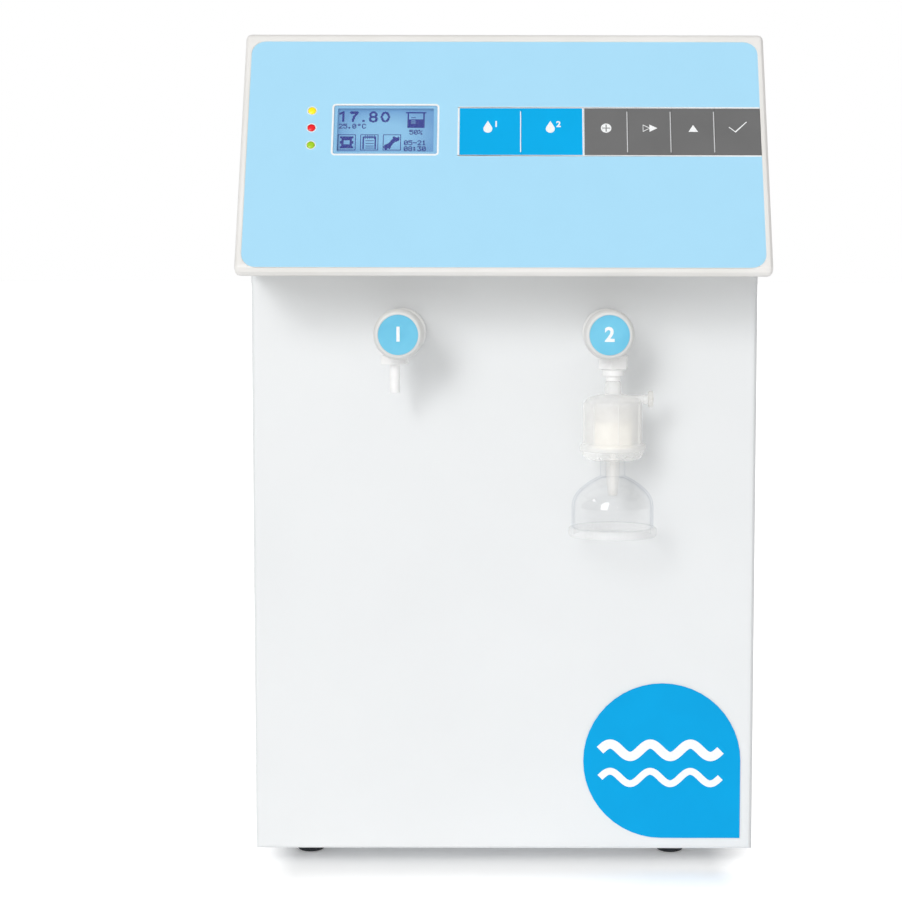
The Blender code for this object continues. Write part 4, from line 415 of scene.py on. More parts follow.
bloom = (5, 3)
rubber = surface("moulded_black_rubber", "black_rubber", 0.72, bloom, "#1F2226", "#2B2F35", ((0.4, 1), 0.02, 0.4),
                 (bloom, 0.62, 0.82))
sole_round, hole_depth = 0.004, 0.0012
for node in ("foot_front_left", "foot_front_right", "foot_rear_left", "foot_rear_right"):
    low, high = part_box(node)
    radius, tall = (high.x - low.x) / 2, high.z - low.z
    sole = radius * 0.65
    dome = arc(sole, sole_round, radius - sole, -sole_round, 0, 90, 8)[-2::-1]
    profile = [(0, hole_depth), (radius * 0.30, hole_depth), (radius * 0.34, 0), (sole, 0), *dome,
               (radius, tall - 0.0006), (radius - 0.0005, tall), (0, tall)]
    turned(node + "_button", profile, upright(node, low.z), rubber, node, sides=64)


# Door pull and catch
# A moulded nylon cup snaps into the door's window, and a magnet in a nylon block at the front corner
# holds the door shut.
def black_nylon(name, slot):
    """Injection-moulded nylon: black, satin, with spark-eroded texture about 0.35 mm across."""
    spark = (0.35, 1)
    return surface(name, slot, 0.5, (14, 2), "#1B1D21", "#282B30", (spark, 0.012, 0.4), (spark, 0.42, 0.58))


nylon = black_nylon("moulded_black_nylon", "black_nylon")
dressed("door_pull", nylon, 0.4, body="service_door")
dressed("door_catch", nylon, 0.5)


# Control head
# A moulded ABS wedge that hooks over the cabinet's front edge: warm white, finely textured, with soft
# edges and a shallow recess for the overlay.
def moulded_abs(name, first="#ECEAE6", second="#F2F0ED"):
    """Injection-moulded ABS: warm white, satin, with a fine etched texture."""
    etched = (0.6, 2)
    return surface(name, "moulded_abs_white", 0.4, (60, 2), first, second, (etched, 0.012, 0.3), (etched, 0.34, 0.46),
                   IOR=1.54)


white_abs = moulded_abs("moulded_white_abs")
dressed("head_shell", white_abs, 0.4)


# Overlay
# A pale blue polyester film, printed from behind and stuck in the head's recess. Its white print frames
# the window, the key row and the lamps.
def printed_film(name, slot, first, second, rough=0.42, shine=0.5):
    """Printed polyester film: an even colour under a velvet-textured skin, which takes the shine off it."""
    velvet = (0.45, 1)
    return surface(name, slot, rough, (25, 2), first, second, (velvet, 0.008, 0.3),
                   (velvet, rough - 0.05, rough + 0.06), Specular_IOR_Level=shine)


def screen_print(name, first, second):
    """Screen-printed ink: flat, a little uneven in its cover."""
    cover = (1.5, 2)
    return surface(name, "moulded_abs_white", 0.5, cover, first, second, (cover, 0.004, 0.3))


def extent(node, direction):
    """How far a CAD node reaches along a direction, from its least to its greatest."""
    reaches = [v.co.dot(direction) for v in frame["nodes"][node].data.vertices]
    return min(reaches), max(reaches)


def on_face(x, down, out=0.0):
    """The place on the film's front at x and at a distance down it: X right, Y up the face, Z outwards."""
    origin = face_down * (film_top + down) + face_normal * (film_front + out)
    return Matrix.Translation(origin + Vector((x, 0, 0))) @ leaning


def soft_box(left, right, low, high, radii, steps=6):
    """A rectangle's outline with its own radius at each corner: left low, right low, right high, left high."""
    points = []
    corners = ((left, low, 1, 1, 180), (right, low, -1, 1, 270), (right, high, -1, -1, 0), (left, high, 1, -1, 90))
    for (x, y, inwards, upwards, start), r in zip(corners, radii):
        points += arc(x + inwards * r, y + upwards * r, r, r, start, start + 90, steps)
    return points


def even_box(half_wide, half_tall, radius, steps=6):
    """A rectangle's outline about the origin, with one radius at all its corners."""
    return soft_box(-half_wide, half_wide, -half_tall, half_tall, [radius] * 4, steps)


def strip(bm, outer, inner, low, high, place):
    """A flat band between two outlines of as many points, raised from low to high."""
    loops = [[bm.verts.new(place @ Vector((x, y, z))) for x, y in outline]
             for outline, z in ((outer, low), (outer, high), (inner, high), (inner, low))]
    for a, b in zip(loops, loops[1:] + loops[:1]):
        for k in range(len(outer)):
            n = (k + 1) % len(outer)
            bm.faces.new((a[k], a[n], b[n], b[k]))


def raised(bm, shapes, heights, place):
    """Raises flat shapes between two heights. Each is an outline, or a pair of an outer and an inner one."""
    for shape in shapes:
        if isinstance(shape, tuple):
            strip(bm, *shape, *heights, place)
        else:
            prism(bm, shape, *heights, place)


def flat_piece(name, shapes, heights, place, material, *nodes, body="cabinet"):
    """A piece of flat shapes raised between two heights."""
    bm = bmesh.new()
    raised(bm, shapes, heights, place)
    finished(name, bm, material, *nodes, body=body)


def rectangle(left, right, low, high):
    """A rectangle's outline with sharp corners."""
    return [(left, low), (right, low), (right, high), (left, high)]


def circle(radius, sides=48):
    """A circle's outline about the origin."""
    return arc(0, 0, radius, radius, 0, 360, sides)[:-1]


face_normal = -Vector(next(j for j in frame["joints"] if j["name"] == "key_menu_press")["axis"])
face_down = Vector((0, -face_normal.z, face_normal.y))
leaning = Matrix((Vector((1, 0, 0)), -face_down, face_normal)).transposed().to_4x4()
film_front = extent("control_overlay", face_normal)[1]
film_top, film_bottom = extent("control_overlay", face_down)
film_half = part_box("control_overlay")[1].x
overlay_film = printed_film("printed_film_pale_blue", "printed_film_pale_blue", "#A9DFFA", "#AAE0FB")
dressed("control_overlay", overlay_film, 0.12, 1)
ink = screen_print("white_screen_print", "#F4F6F7", "#FAFBFB")
INK = (-0.00008, 0.00003)
corner, seam, seal = 0.009, 0.00002, 0.00028
outlines = [soft_box(-film_half - out, film_half + out, film_top - film_bottom - out, out, [corner + out] * 4)
            for out in (seal, seam)]
flat_piece("overlay_edge_seal", [tuple(outlines)], (-0.0005, -0.00004), on_face(0, 0), white_abs)

slack = 0.0003
window_x = middle_of("display_window").x
window_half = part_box("display_window")[1].x - window_x + slack
window_top, window_bottom = (reach - film_top for reach in extent("display_window", face_down))
window_down = (window_top + window_bottom) / 2
window_tall = (window_bottom - window_top) / 2 + slack
at_window = on_face(window_x, window_down)
line, window_corner = 0.0012, 0.0018
outlines = [even_box(window_half + out, window_tall + out, window_corner + out) for out in (line / 2, -line / 2)]
flat_piece("window_print", [tuple(outlines)], INK, at_window, ink)

key_front = extent("key_menu", face_normal)[1] - film_front
on_key = [v.co.dot(face_down) - film_top for v in frame["nodes"]["key_menu"].data.vertices
          if v.co.dot(face_normal) - film_front > key_front - 0.0002]
key_top, key_bottom = min(on_key), max(on_key)
row_left, row_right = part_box("key_outlet_1")[0].x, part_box("key_enter")[1].x
frame_line, gap, clear = 0.0006, 0.0004, 0.00004
left, end = row_left - frame_line, film_half - 0.0002
row_high, row_low = gap - key_top, -key_bottom - gap
flat_piece("key_row_print", [
    soft_box(left - frame_line, end, row_high, row_high + frame_line, (0.0004, 0, 0, 0.0008)),
    soft_box(left - frame_line, end, row_low - frame_line, row_low, (0.0008, 0, 0, 0.0004)),
    soft_box(left - frame_line, left, row_low, row_high, (0, 0, 0, 0))], INK, on_face(0, 0), ink)
WEB = (-0.0005, -0.00006)
flat_piece("key_row_web", [
    rectangle(row_left, row_right, clear - key_top, row_high - clear),
    rectangle(row_left, row_right, row_low + clear, -key_bottom - clear),
    rectangle(left + clear, row_left - clear, row_low + clear, row_high - clear)], WEB, on_face(0, 0), ink)


# Keys
# Six film keys, two bright blue for the outlets and four grey. Each moves with its own switch, so its
# white print moves with it: generic drops and numbers, and plain signs for menu, shift, up and enter.
def triangle(left, right, low, high):
    """A triangle's outline that points right."""
    return [(left, low), (right, (low + high) / 2), (left, high)]


def drop(height, x, y):
    """A water drop's outline, its round part's centre at (x, y), with a straight-sided tip at the top."""
    radius = height * 0.33
    tip = height - radius
    lean = math.degrees(math.asin(radius / tip))
    return [(x, y + tip)] + arc(x, y, radius, radius, 180 - lean, 360 + lean, 28)


def figures(bm, text, height, centre, heights, place, weight):
    """Raised plain numbers, their strokes made bolder by weight. The curve is a mesh before it gets its place."""
    low, high = heights
    curve = bpy.data.curves.new("figures", "FONT")
    curve.body = text
    curve.align_x = "CENTER"
    curve.align_y = "CENTER"
    curve.size = height / 0.7
    curve.extrude = (high - low) / 2
    curve.offset = weight
    curve.resolution_u = 3
    held = placed("figures", curve)
    mesh = bpy.data.meshes.new_from_object(held.evaluated_get(bpy.context.evaluated_depsgraph_get()))
    bpy.data.objects.remove(held)
    mesh.transform(place @ Matrix.Translation((centre[0], centre[1], (low + high) / 2)))
    bm.from_mesh(mesh)
    bmesh.ops.remove_doubles(bm, verts=bm.verts, dist=1e-7)


blue_film = printed_film("printed_film_bright_blue", "printed_film_bright_blue", "#00ADEA", "#00AFED", 0.5, 0.1)
grey_film = printed_film("printed_film_grey", "printed_film_grey", "#6F6F6F", "#727272", 0.5, 0.15)
pale_line = screen_print("pale_grey_screen_print", "#C9CACB", "#D2D3D4")
UP = (-0.00006, 0.00006)
sign_down = key_top + 0.0143
slit = 0.0003
sector = [(slit, slit)] + [(max(slit, x), max(slit, y)) for x, y in arc(0, 0, 0.00255, 0.00255, 0, 90, 12)]
sectors = [[(c * x - s * y, s * x + c * y) for x, y in sector] for c, s in ((1, 0), (0, 1), (-1, 0), (0, -1))]
signs = {"key_menu": [(circle(0.0033), circle(0.0026)), *sectors],
         "key_shift": [triangle(-0.0002, 0.0048, -0.0026, 0.0026),
                       (triangle(-0.0044, 0.0004, -0.0026, 0.0026), triangle(-0.0041, -0.0003, -0.0020, 0.0020))],
         "key_up": [mm((-3.0, -2.6), (3.0, -2.6), (0, 2.4))],
         "key_enter": [mm((-5.4381, 0.9905), (-1.7545, -2.1406), (5.5244, 4.778), (5.8756, 4.422), (-1.4455, -3.0594),
                          (-5.7619, 0.6095))]}
keys = ["key_outlet_1", "key_outlet_2", *signs]
webs = [blue_film, ink, grey_film, grey_film, grey_film]
whole, short = (0.0008, -key_bottom, -key_top), (0.0006, 0.0020 - key_bottom, -0.0024 - key_top)
for k, key in enumerate(keys):
    blue = key not in signs
    dressed(key, blue_film if blue else grey_film, 0.12, 1, body=key)
    place = on_face(middle_of(key).x, sign_down, key_front)
    bm = bmesh.new()
    raised(bm, signs.get(key, [drop(0.0086, -0.0016, -0.0006)]), UP, place)
    if blue:
        figures(bm, str(k + 1), 0.0040, (0.0036, 0.0026), UP, place, 0.0002)
    finished(key + "_sign", bm, ink, body=key)
    if k < len(webs):
        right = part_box(key)[1].x
        between = rectangle(right + clear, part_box(keys[k + 1])[0].x - clear, -key_bottom, -key_top)
        flat_piece(key + "_web", [between], WEB, on_face(0, 0), webs[k])
        wide, bottom, top = whole if k == 1 else short
        edge = right - 0.0001
        flat_piece(key + "_line", [rectangle(edge - wide, edge, bottom, top)], UP, on_face(0, 0, key_front),
                   ink if blue else pale_line, body=key)


# Display
# A blue graphic liquid-crystal module under a clear window, backlit, and deeper towards its edges. Its
# dots, 128 by 64 of them, are set out with Geometry Nodes: plain numbers, a tank and three signs.
backlit = surface("liquid_crystal_blue", "display_glass_blue", 0.4, (3,), "#6896B4", "#4F7AA2", worn=((3,), 0.3, 0.4),
                  ends=(0.4, 1.0), Emission_Strength=0.75)
tree = backlit.node_tree
shader = tree.nodes["Principled BSDF"]
ramp = shader.inputs["Base Color"].links[0].from_node
from_middle = add(tree, "ShaderNodeVectorMath", {0: add(tree, "ShaderNodeTexCoord").outputs["Object"],
                                                 1: middle_of("display_module")}, operation="SUBTRACT")
squashed = add(tree, "ShaderNodeVectorMath", {0: from_middle, 1: (30, 30, 58)}, operation="MULTIPLY")
away = add(tree, "ShaderNodeVectorMath", {0: squashed}, operation="LENGTH")
tree.links.new(away.outputs["Value"], ramp.inputs["Fac"])
tree.links.new(ramp.outputs[0], shader.inputs["Emission Color"])
dressed("display_module", backlit, 0.2, 1)
# Hard-coated polycarbonate sheet, 1 mm thick: all but invisible, with a soft shine.
window = surface("clear_polycarbonate_sheet", "clear_polycarbonate", 0.12, (8,), "#EEF7FF", "#F8FCFF",
                 worn=((8,), 0.08, 0.16), Alpha=0.02)
dressed("display_window", window, 0.1, 1)
mask_wide, mask_inset = 0.0024, 0.0005
mask_half = window_half - mask_inset
mask = (even_box(mask_half, window_tall - mask_inset, 0.0014),
        even_box(mask_half - mask_wide, window_tall - mask_wide, 0.0008))
flat_piece("display_mask", [mask], (-0.00074, -0.00054), at_window,
           printed_film("printed_mask_blue", "display_glass_blue", "#84BEE6", "#8AC4EA"))

SMALL = {"0": (14, 17, 19, 21, 25, 17, 14), "1": (4, 12, 4, 4, 4, 4, 14), "2": (14, 17, 1, 2, 4, 8, 31),
         "3": (31, 2, 4, 2, 1, 17, 14), "5": (31, 16, 30, 1, 1, 17, 14), "8": (14, 17, 17, 14, 17, 17, 14),
         ".": (0, 0, 0, 0, 0, 12, 12), ":": (0, 12, 12, 0, 12, 12, 0), "-": (0, 0, 0, 31, 0, 0, 0),
         "%": (24, 25, 2, 4, 8, 19, 3), "C": (14, 17, 16, 16, 16, 17, 14), "*": (12, 18, 12, 0, 0, 0, 0)}
lit, small_lit = set(), set()


def write(text, column, row, step=6):
    """Sets small figures, five dots by seven, from a column and row of the display."""
    for k, sign in enumerate(text):
        for down, bits in enumerate(SMALL[sign]):
            small_lit.update((column + step * k + c, row + down) for c in range(5) if bits >> (4 - c) & 1)


def stroke(points, reach):
    """Lights the dots whose middles lie within reach of the line through the points."""
    for a, b in zip(points, points[1:]):
        a, b = Vector(a), Vector(b)
        for column in range(int(min(a.x, b.x) - reach), int(max(a.x, b.x) + reach) + 2):
            for row in range(int(min(a.y, b.y) - reach), int(max(a.y, b.y) + reach) + 2):
                here = Vector((column, row))
                share = max(0, min(1, (here - a).dot(b - a) / max((b - a).length_squared, 1e-9)))
                if (here - a.lerp(b, share)).length <= reach:
                    lit.add((column, row))


def block(left, top, right, bottom):
    """The dots of a rectangle of the display."""
    return {(column, row) for column in range(left, right + 1) for row in range(top, bottom + 1)}


for left in (0, 30, 60):
    lit |= block(left, 35, left + 23, 58) - block(left + 1, 36, left + 22, 57)
for corners in ((32, 13, 34, 15), (3, 38, 20, 55), (33, 38, 34, 56), (49, 38, 50, 56), (33, 38, 50, 39),
                (37, 44, 47, 44), (37, 48, 47, 48), (37, 52, 47, 52), (37, 55, 47, 55), (36, 36, 36, 41),
                (39, 36, 39, 41), (42, 36, 42, 41), (45, 36, 45, 41), (48, 36, 48, 41), (90, 1, 116, 2),
                (92, 2, 93, 24), (113, 2, 114, 24), (92, 12, 114, 24), (97, 9, 102, 9)):
    lit |= block(*corners)
for corners in ((3, 41, 4, 44), (19, 41, 20, 44), (3, 49, 4, 52), (19, 49, 20, 52), (8, 44, 15, 49),
                (97, 14, 102, 14), (97, 17, 102, 17)):
    lit -= block(*corners)
for points, reach in (([(2, 3), (6, 1), (6, 14)], 1.6), ([(16, 1.5), (25, 1.5), (20, 8), (19, 14)], 1.6),
                      (arc(46, 4.5, 4, 3.4, 0, 360), 1.5), (arc(46, 11.3, 4.6, 3.4, 0, 360), 1.5),
                      (arc(62, 8, 4.6, 6.6, 0, 360, 24), 1.5), ([(66, 53), (76, 41)], 2.7),
                      (arc(77, 40.5, 3.3, 3.3, -20, 210), 1.6), (arc(65.5, 53.5, 3.1, 3.1, 120, 380), 1.6)):
    stroke(points, reach)
for text, column, row in (("25.0", 1, 19), ("*C", 26, 19), ("50%", 95, 28), ("05-21", 88, 44), ("08:30", 88, 53)):
    write(text, column, row)

pitch, lines_seen, field_wide, field_shift = 0.000477, 59, 0.0612, 0.0006
half = pitch / 2
module_front = extent("display_module", face_normal)[1] - film_front
first_x = window_x - field_wide / 2 + field_shift
first_down = window_down - field_shift - lines_seen * half
# The dark state of the liquid crystal: deep violet blue, slightly mottled.
dark = surface("liquid_crystal_dark", "display_glass_blue", 0.4, (1.2,), "#0E2285", "#162A92")
for name, sites, size in (("display_dots", lit, 1.0), ("display_small_dots", small_lit, 1.35)):
    dot = bmesh.new()
    prism(dot, rectangle(-half, half, -half, half), -0.00002, 0.00003, leaning)
    places = [on_face(first_x + column * pitch, first_down + row * pitch, module_front).translation
              for column, row in sorted(sites)]
    set_out(name, dot, places, dark, size=size)


# Lamps
# Three 5 mm diffused lamps, yellow, red and green, each in a thin printed ring: unlit epoxy of bright
# colour under a smooth skin, with a little painted glow that lifts the colour.
for colour, first, second in (("yellow", "#FFE800", "#FFEE10"), ("red", "#E60012", "#EC1020"),
                              ("green", "#9BC60A", "#A6CE14")):
    node = "lamp_" + colour
    front = extent(node, face_normal)[1]
    near = [v.co for v in frame["nodes"][node].data.vertices if v.co.dot(face_normal) > front - 0.0006]
    left, right = min(p.x for p in near), max(p.x for p in near)
    downs = [p.dot(face_down) for p in near]
    place = on_face((left + right) / 2, (min(downs) + max(downs)) / 2 - film_top)
    radius, out = (right - left) / 2, front - film_front
    lens = surface("diffused_%s_epoxy" % colour, node, 0.28, (2,), first, second, Emission_Color=linear(first),
                   Emission_Strength=0.12)
    frame["nodes"][node].data.materials[0] = lens
    turned(node + "_lens", [(0, out - 0.0004), (radius, out - 0.0004), (radius, out - 0.00005),
                            (radius * 0.8, out + 0.0002), (radius * 0.45, out + 0.0004), (0, out + 0.00045)],
           place, lens, sides=40)
    flat_piece(node + "_ring", [(circle(radius + 0.0008), circle(radius + 0.00025))], INK, place, ink)


# Badge
# A drop-shaped sticker of cast vinyl, an even blue with a very faint orange peel, low on the right of the
# front panel. It carries two rows of plain white waves, swept along their lines with Geometry Nodes.
vinyl = surface("blue_vinyl_film", "vinyl_blue", 0.5, (30, 2), "#00A2DF", "#00A5E2", ((0.8, 1), 0.006, 0.3),
                Specular_IOR_Level=0.1)
dressed("badge", vinyl, 0.08, 1)
sweep, given = group("sweep_strip", Line="Geometry", Width="Float", Height="Float", Finish="Material")
curve = add(sweep, "GeometryNodeMeshToCurve", {"Mesh": given["Line"]})
flat = add(sweep, "GeometryNodeCurvePrimitiveQuadrilateral", {"Width": given["Height"], "Height": given["Width"]})
swept = add(sweep, "GeometryNodeCurveToMesh", {"Fill Caps": True, "Curve": curve, "Profile Curve": flat})
give_out(sweep, swept, given["Finish"])
badge = middle_of("badge")
wave_shift, wave_half, wave_rise, wave_count, wave_steps = -0.001, 0.040, 0.0042, 3, 96
for k, (up, thick) in enumerate(((0.0072, 0.0062), (-0.0112, 0.0046))):
    shares = [s / wave_steps for s in range(wave_steps + 1)]
    along = [(badge.x + wave_shift + wave_half * (2 * share - 1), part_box("badge")[0].y,
              badge.z + up + wave_rise * math.sin(math.tau * wave_count * share)) for share in shares]
    wave = bpy.data.meshes.new("wave_line")
    wave.from_pydata(along, [(s, s + 1) for s in range(wave_steps)], [])
    finished("badge_wave_%d" % (k + 1), grown(wave, sweep, Width=thick, Height=0.00012, Finish=ink), ink)


# Outlet valves
# Each outlet is a turned acetal valve body, gripped through the panel by a hexagon locknut behind it.
# Its boss points down and takes a union nut.
def acetal(name, slot, first, second):
    """Machined acetal: half matt, with fine turning lines about 0.5 mm apart. A faint painted glow lifts it, in place
    of the light that soaks into it.
    """
    turning = (0.5, 1)
    return surface(name, slot, 0.36, (9, 2), first, second, (turning, 0.006, 0.3), (turning, 0.3, 0.42), IOR=1.48,
                   Emission_Color=linear(second), Emission_Strength=0.06)


white_acetal = acetal("turned_white_acetal", "acetal_white", "#ECECEC", "#F3F3F2")
for node in ("outlet_body_1", "outlet_body_2"):
    dressed(node, white_acetal, 0.35)
outlets = [middle_of(node) for node in ("outlet_knob_1", "outlet_knob_2")]
flats, bore = 0.019, 0.0072
six = circle(flats / 2 / math.cos(math.pi / 6), 6)
six_fine = [(x + (next_x - x) * s / 4, y + (next_y - y) * s / 4)
            for (x, y), (next_x, next_y) in zip(six, six[1:] + six[:1]) for s in range(4)]
locknut = bmesh.new()
strip(locknut, six_fine, circle(bore, len(six_fine)), 0.0013, 0.0058, BACKWARDS)
set_out("outlet_locknuts", locknut, [(at.x, front_y, outlets[0].z) for at in outlets], white_acetal)


# Outlet knobs
# Moulded ABS caps, domed round a flat face, each with a disc of sky blue label stock under a satin laminate,
# and a plain number.
disc = surface("printed_sky_blue_disc", "label_sky_blue", 0.3, (18, 2), "#66C0E2", "#74CBEA", ((0.5, 1), 0.004, 0.2))
knob_abs = moulded_abs("moulded_knob_abs", "#DCDCDB", "#E2E2E0")
face, disc_radius, dome_from, skirt, socket, socket_depth = 0.01290, 0.0126, 0.0134, 0.0043, 0.0037, 0.0082
for k, at in enumerate(outlets):
    node, label = "outlet_knob_%d" % (k + 1), "knob_label_%d" % (k + 1)
    body = "outlet_%d_knob" % (k + 1)
    low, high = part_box(node)
    radius, length = (high.x - low.x) / 2, high.y - low.y
    towards = Matrix.Translation((at.x, high.y, outlets[0].z)) @ FORWARDS
    seat = length - 0.0004
    dome = arc(dome_from, skirt, radius - dome_from, length - skirt, 0, 90, 10)[1:]
    turned(node + "_cap", [(0, socket_depth), (socket, socket_depth), (socket, 0), (radius - 0.0012, 0),
                           (radius, 0.0014), (radius, skirt), *dome, (face, length), (face, seat), (0, seat)],
           towards, knob_abs, node, sides=96, body=body)
    turned(label + "_disc", [(0, seat + 0.0002), (disc_radius, seat + 0.0002), (disc_radius, length - 0.00005),
                             (0, length - 0.00005)], towards, disc, label, sides=96, body=body)
    bm = bmesh.new()
    figures(bm, str(k + 1), 0.0088, (0, 0), (-0.00006, 0.00004), towards @ Matrix.Translation((0, 0, length)), 0.0004)
    finished(label + "_figure", bm, ink, body=body)


# Outlet nuts and spout
# Acetal union nuts under the bosses. The first grips a plain stub of tube, the second a swivel for the
# filter's neck.
for node in ("outlet_nut_1", "outlet_nut_2"):
    dressed(node, white_acetal, 0.7, 3)
low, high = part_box("outlet_spout_1")
bore, thin, thick, tall = 0.0020, 0.00318, 0.00338, high.z - low.z
turned("outlet_spout_1_stub", [(bore, 0), (0.0029, 0), (thin, 0.0003), (thin, tall / 2), (thick, tall / 2 + 0.0002),
                               (thick, tall), (bore, tall)],
       upright("outlet_spout_1", low.z), white_acetal, "outlet_spout_1")


# Final filter
# A welded polypropylene capsule: a milky bowl with upright ribs, a neck and a vent stem, round a cream
# pleated element. The lower half ends in a barb for the bell.
def milky_polypropylene(name, alpha, first="#F4F4F3", second="#FAFAF9", painted_glow=0.05, slot="natural_polypropylene"):
    """Natural polypropylene: milky, half see-through and waxy. A painted glow, standing in for light scattered in it,
    lifts it a little.
    """
    clouds = (7, 3)
    return surface(name, slot, 0.34, clouds, first, second, ((1.2, 1), 0.01, 0.3), (clouds, 0.28, 0.42), Alpha=alpha,
                   IOR=1.49, Emission_Color=linear("#FFFCF6"), Emission_Strength=painted_glow)


NO_TURN = Matrix.Identity(4)
milky = milky_polypropylene("natural_polypropylene", 0.34)
foot, top = (corner.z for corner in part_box("filter_capsule"))
core_low, core_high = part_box("filter_core")
axis = middle_of("filter_core")
place = upright("filter_core")
wall, flange_wide, neck, dome_tall = 0.0187, 0.0210, 0.0052, 0.0061
shoulder, flange = top - 0.0085, foot + 0.0046
edge = shoulder - dome_tall
turned("filter_capsule_bowl", [
    (0, shoulder - 0.0036), (0.0095, shoulder - 0.0050), (0.0150, edge - 0.0008), (0.0168, edge - 0.0026),
    (0.0168, foot), (0.0203, foot), (0.0208, foot + 0.0004), (flange_wide, foot + 0.0011),
    (flange_wide, flange - 0.0014), (0.0207, flange - 0.0006), (0.0200, flange - 0.0001), (wall, flange + 0.0003),
    (wall, edge), *arc(neck, edge, wall - neck, dome_tall, 0, 90, 10)[1:-1], (0.0056, shoulder),
    (neck, shoulder + 0.0005), (neck, top - 0.0016), (0.0048, top - 0.0006), (0.0042, top), (0, top)],
    place, milky, "filter_capsule", sides=96)
rib_count, first_rib, rib_half, rib_round = 7, -81.3, 0.00045, 0.0003
rib = bmesh.new()
prism(rib, soft_box(0.0180, 0.0192, -rib_half, rib_half, (0, rib_round, rib_round, 0), 3), flange, edge + 0.0006,
      NO_TURN)
set_out("filter_capsule_ribs", rib, [(axis.x, axis.y, 0)] * rib_count, milky,
        [(0, 0, math.radians(first_rib) + math.tau * k / rib_count) for k in range(rib_count)])
vent_low, vent_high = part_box("vent_cap")
sideways = Matrix.Translation((axis.x, axis.y, middle_of("vent_cap").z)) @ Matrix.Rotation(math.pi / 2, 4, "Y")
reach, cap_end = vent_low.x - axis.x, vent_high.x - axis.x
turned("filter_capsule_stem", [(0, 0.0045), (0.0026, 0.0045), (0.0026, reach - 0.0035), (0.0031, reach - 0.0030),
                               (0.0031, reach - 0.0003), (0, reach - 0.0003)], sideways, milky, sides=40)
bm = bmesh.new()
grip = [(x * scale, y * scale) for (x, y), scale in zip(circle(0.0053, 72), (0.955, 1, 1) * 24)]
prism(bm, grip, reach + 0.0004, cap_end - 0.0004, sideways)
lathe(bm, [(0, reach), (0.0048, reach), (0.0049, reach + 0.0005), (0, reach + 0.0005)], sideways, 48)
lathe(bm, [(0, cap_end - 0.0005), (0.0049, cap_end - 0.0005), (0.0045, cap_end), (0, cap_end)], sideways, 48)
finished("vent_cap_knurled", bm, milky_polypropylene("natural_polypropylene_cap", 0.5, "#ECEBE8", "#F2F1EE"),
         "vent_cap", body="vent_cap")
# Pleated membrane paper: warm cream, dull and fibrous, with a painted glow in place of the light that comes through
# the bowl.
fibres = (0.8, 3)
membrane = surface("pleated_cream_membrane", "pleated_membrane_cream", 0.9, fibres, "#F6F1E7", "#FCFAF4",
                   (fibres, 0.02, 0.4), Emission_Color=linear("#FFF8EC"), Emission_Strength=0.12)
pleat_count, pleat_low, pleat_high = 40, 0.0108, 0.0120
pleats = [(x * r, y * r) for (x, y), r in zip(circle(1, 2 * pleat_count), (pleat_low, pleat_high) * pleat_count)]
cap_foot = core_low.z + 0.67 * (core_high.z - core_low.z)
flat_piece("filter_core_pleats", [pleats], (core_low.z, cap_foot), place, membrane, "filter_core")
turned("filter_core_end_cap", [(0, cap_foot), (0.0121, cap_foot), (0.0121, core_high.z - 0.0012),
                               (0.0109, core_high.z), (0, core_high.z)],
       place, milky_polypropylene("polypropylene_end_cap", 0.8, "#EDEBE6", "#F2F0EC"), sides=64)
base_low, base_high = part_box("filter_base")
bell_low, bell_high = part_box("filling_bell")
lower, underside, bore, seat_wide, barb = foot - 0.0003, bell_high.z + 0.0003, 0.0018, 0.0120, 0.0043
# The cup and the barb carry stronger painted glows, which lift them where the bell and the capsule shade them.
turned("filter_base_cup", [
    (bore, underside), (0.0155, underside), (0.0178, underside + 0.0010), (0.0192, underside + 0.0026),
    (0.0195, lower), (seat_wide, lower), (seat_wide, base_high.z), (bore, base_high.z)],
    place, milky_polypropylene("natural_polypropylene_base", 0.26, painted_glow=0.17), "filter_base", sides=96)
turned("filter_base_barb", [(bore, base_low.z), (0.0030, base_low.z), (barb, base_low.z + 0.0131),
                            (barb, underside + 0.0002), (bore, underside + 0.0002)],
       place, milky_polypropylene("natural_polypropylene_barb", 0.14, painted_glow=0.6))


# Filling bell
# Blow-moulded clear polycarbonate, 1.2 mm thick, pushed on the capsule's barb, with a milky rim welded
# round its mouth.
def smooth_line(points, steps=5):
    """More points along a smooth curve through the points."""
    line = []
    for k in range(len(points) - 1):
        a, b, c, d = (Vector(points[min(max(k + i, 0), len(points) - 1)]) for i in (-1, 0, 1, 2))
        for s in range(steps):
            u = s / steps
            line.append(b + 0.5 * ((c - a) * u + (2 * a - 5 * b + 4 * c - d) * u ** 2
                                   + (3 * b - a - 3 * c + d) * u ** 3))
    return line + [Vector(points[-1])]


# A thin clear wall: what is behind shows unbent, and the surroundings shine on it, most at a slant.
ripple = (7, 2, (1, 1, 0.1))
clear_wall = surface("clear_moulded_polycarbonate", "clear_polycarbonate", 0.05, ripple, "#F7F9FA", "#FFFFFF",
                     (ripple, 0.10, 0.2), metal=1.0)
tree = clear_wall.node_tree
shader = tree.nodes["Principled BSDF"]
uneven = shader.inputs["Normal"].links[0].from_node
facing = add(tree, "ShaderNodeLayerWeight", {"Blend": 0.5, "Normal": uneven}).outputs["Facing"]
slant = add(tree, "ShaderNodeMath", {0: facing, 1: 9.0}, operation="POWER")
share = add(tree, "ShaderNodeMath", {0: slant, 1: 0.5, 2: 0.03}, operation="MULTIPLY_ADD")
edge = add(tree, "ShaderNodeValToRGB", {"Fac": slant})
edge.color_ramp.elements[0].color = WHITE
edge.color_ramp.elements[1].color = linear("#C6CDD8")
behind = add(tree, "ShaderNodeBsdfTransparent", {"Color": edge})
mixed = add(tree, "ShaderNodeMixShader", {0: share, 1: behind, 2: shader})
tree.links.new(mixed.outputs[0], tree.nodes["Material Output"].inputs["Surface"])
drop_mm = ((7.9, 0), (12.9, 2.6), (17.8, 5.9), (22.4, 10.1), (25.2, 14.7), (26.2, 19.4))
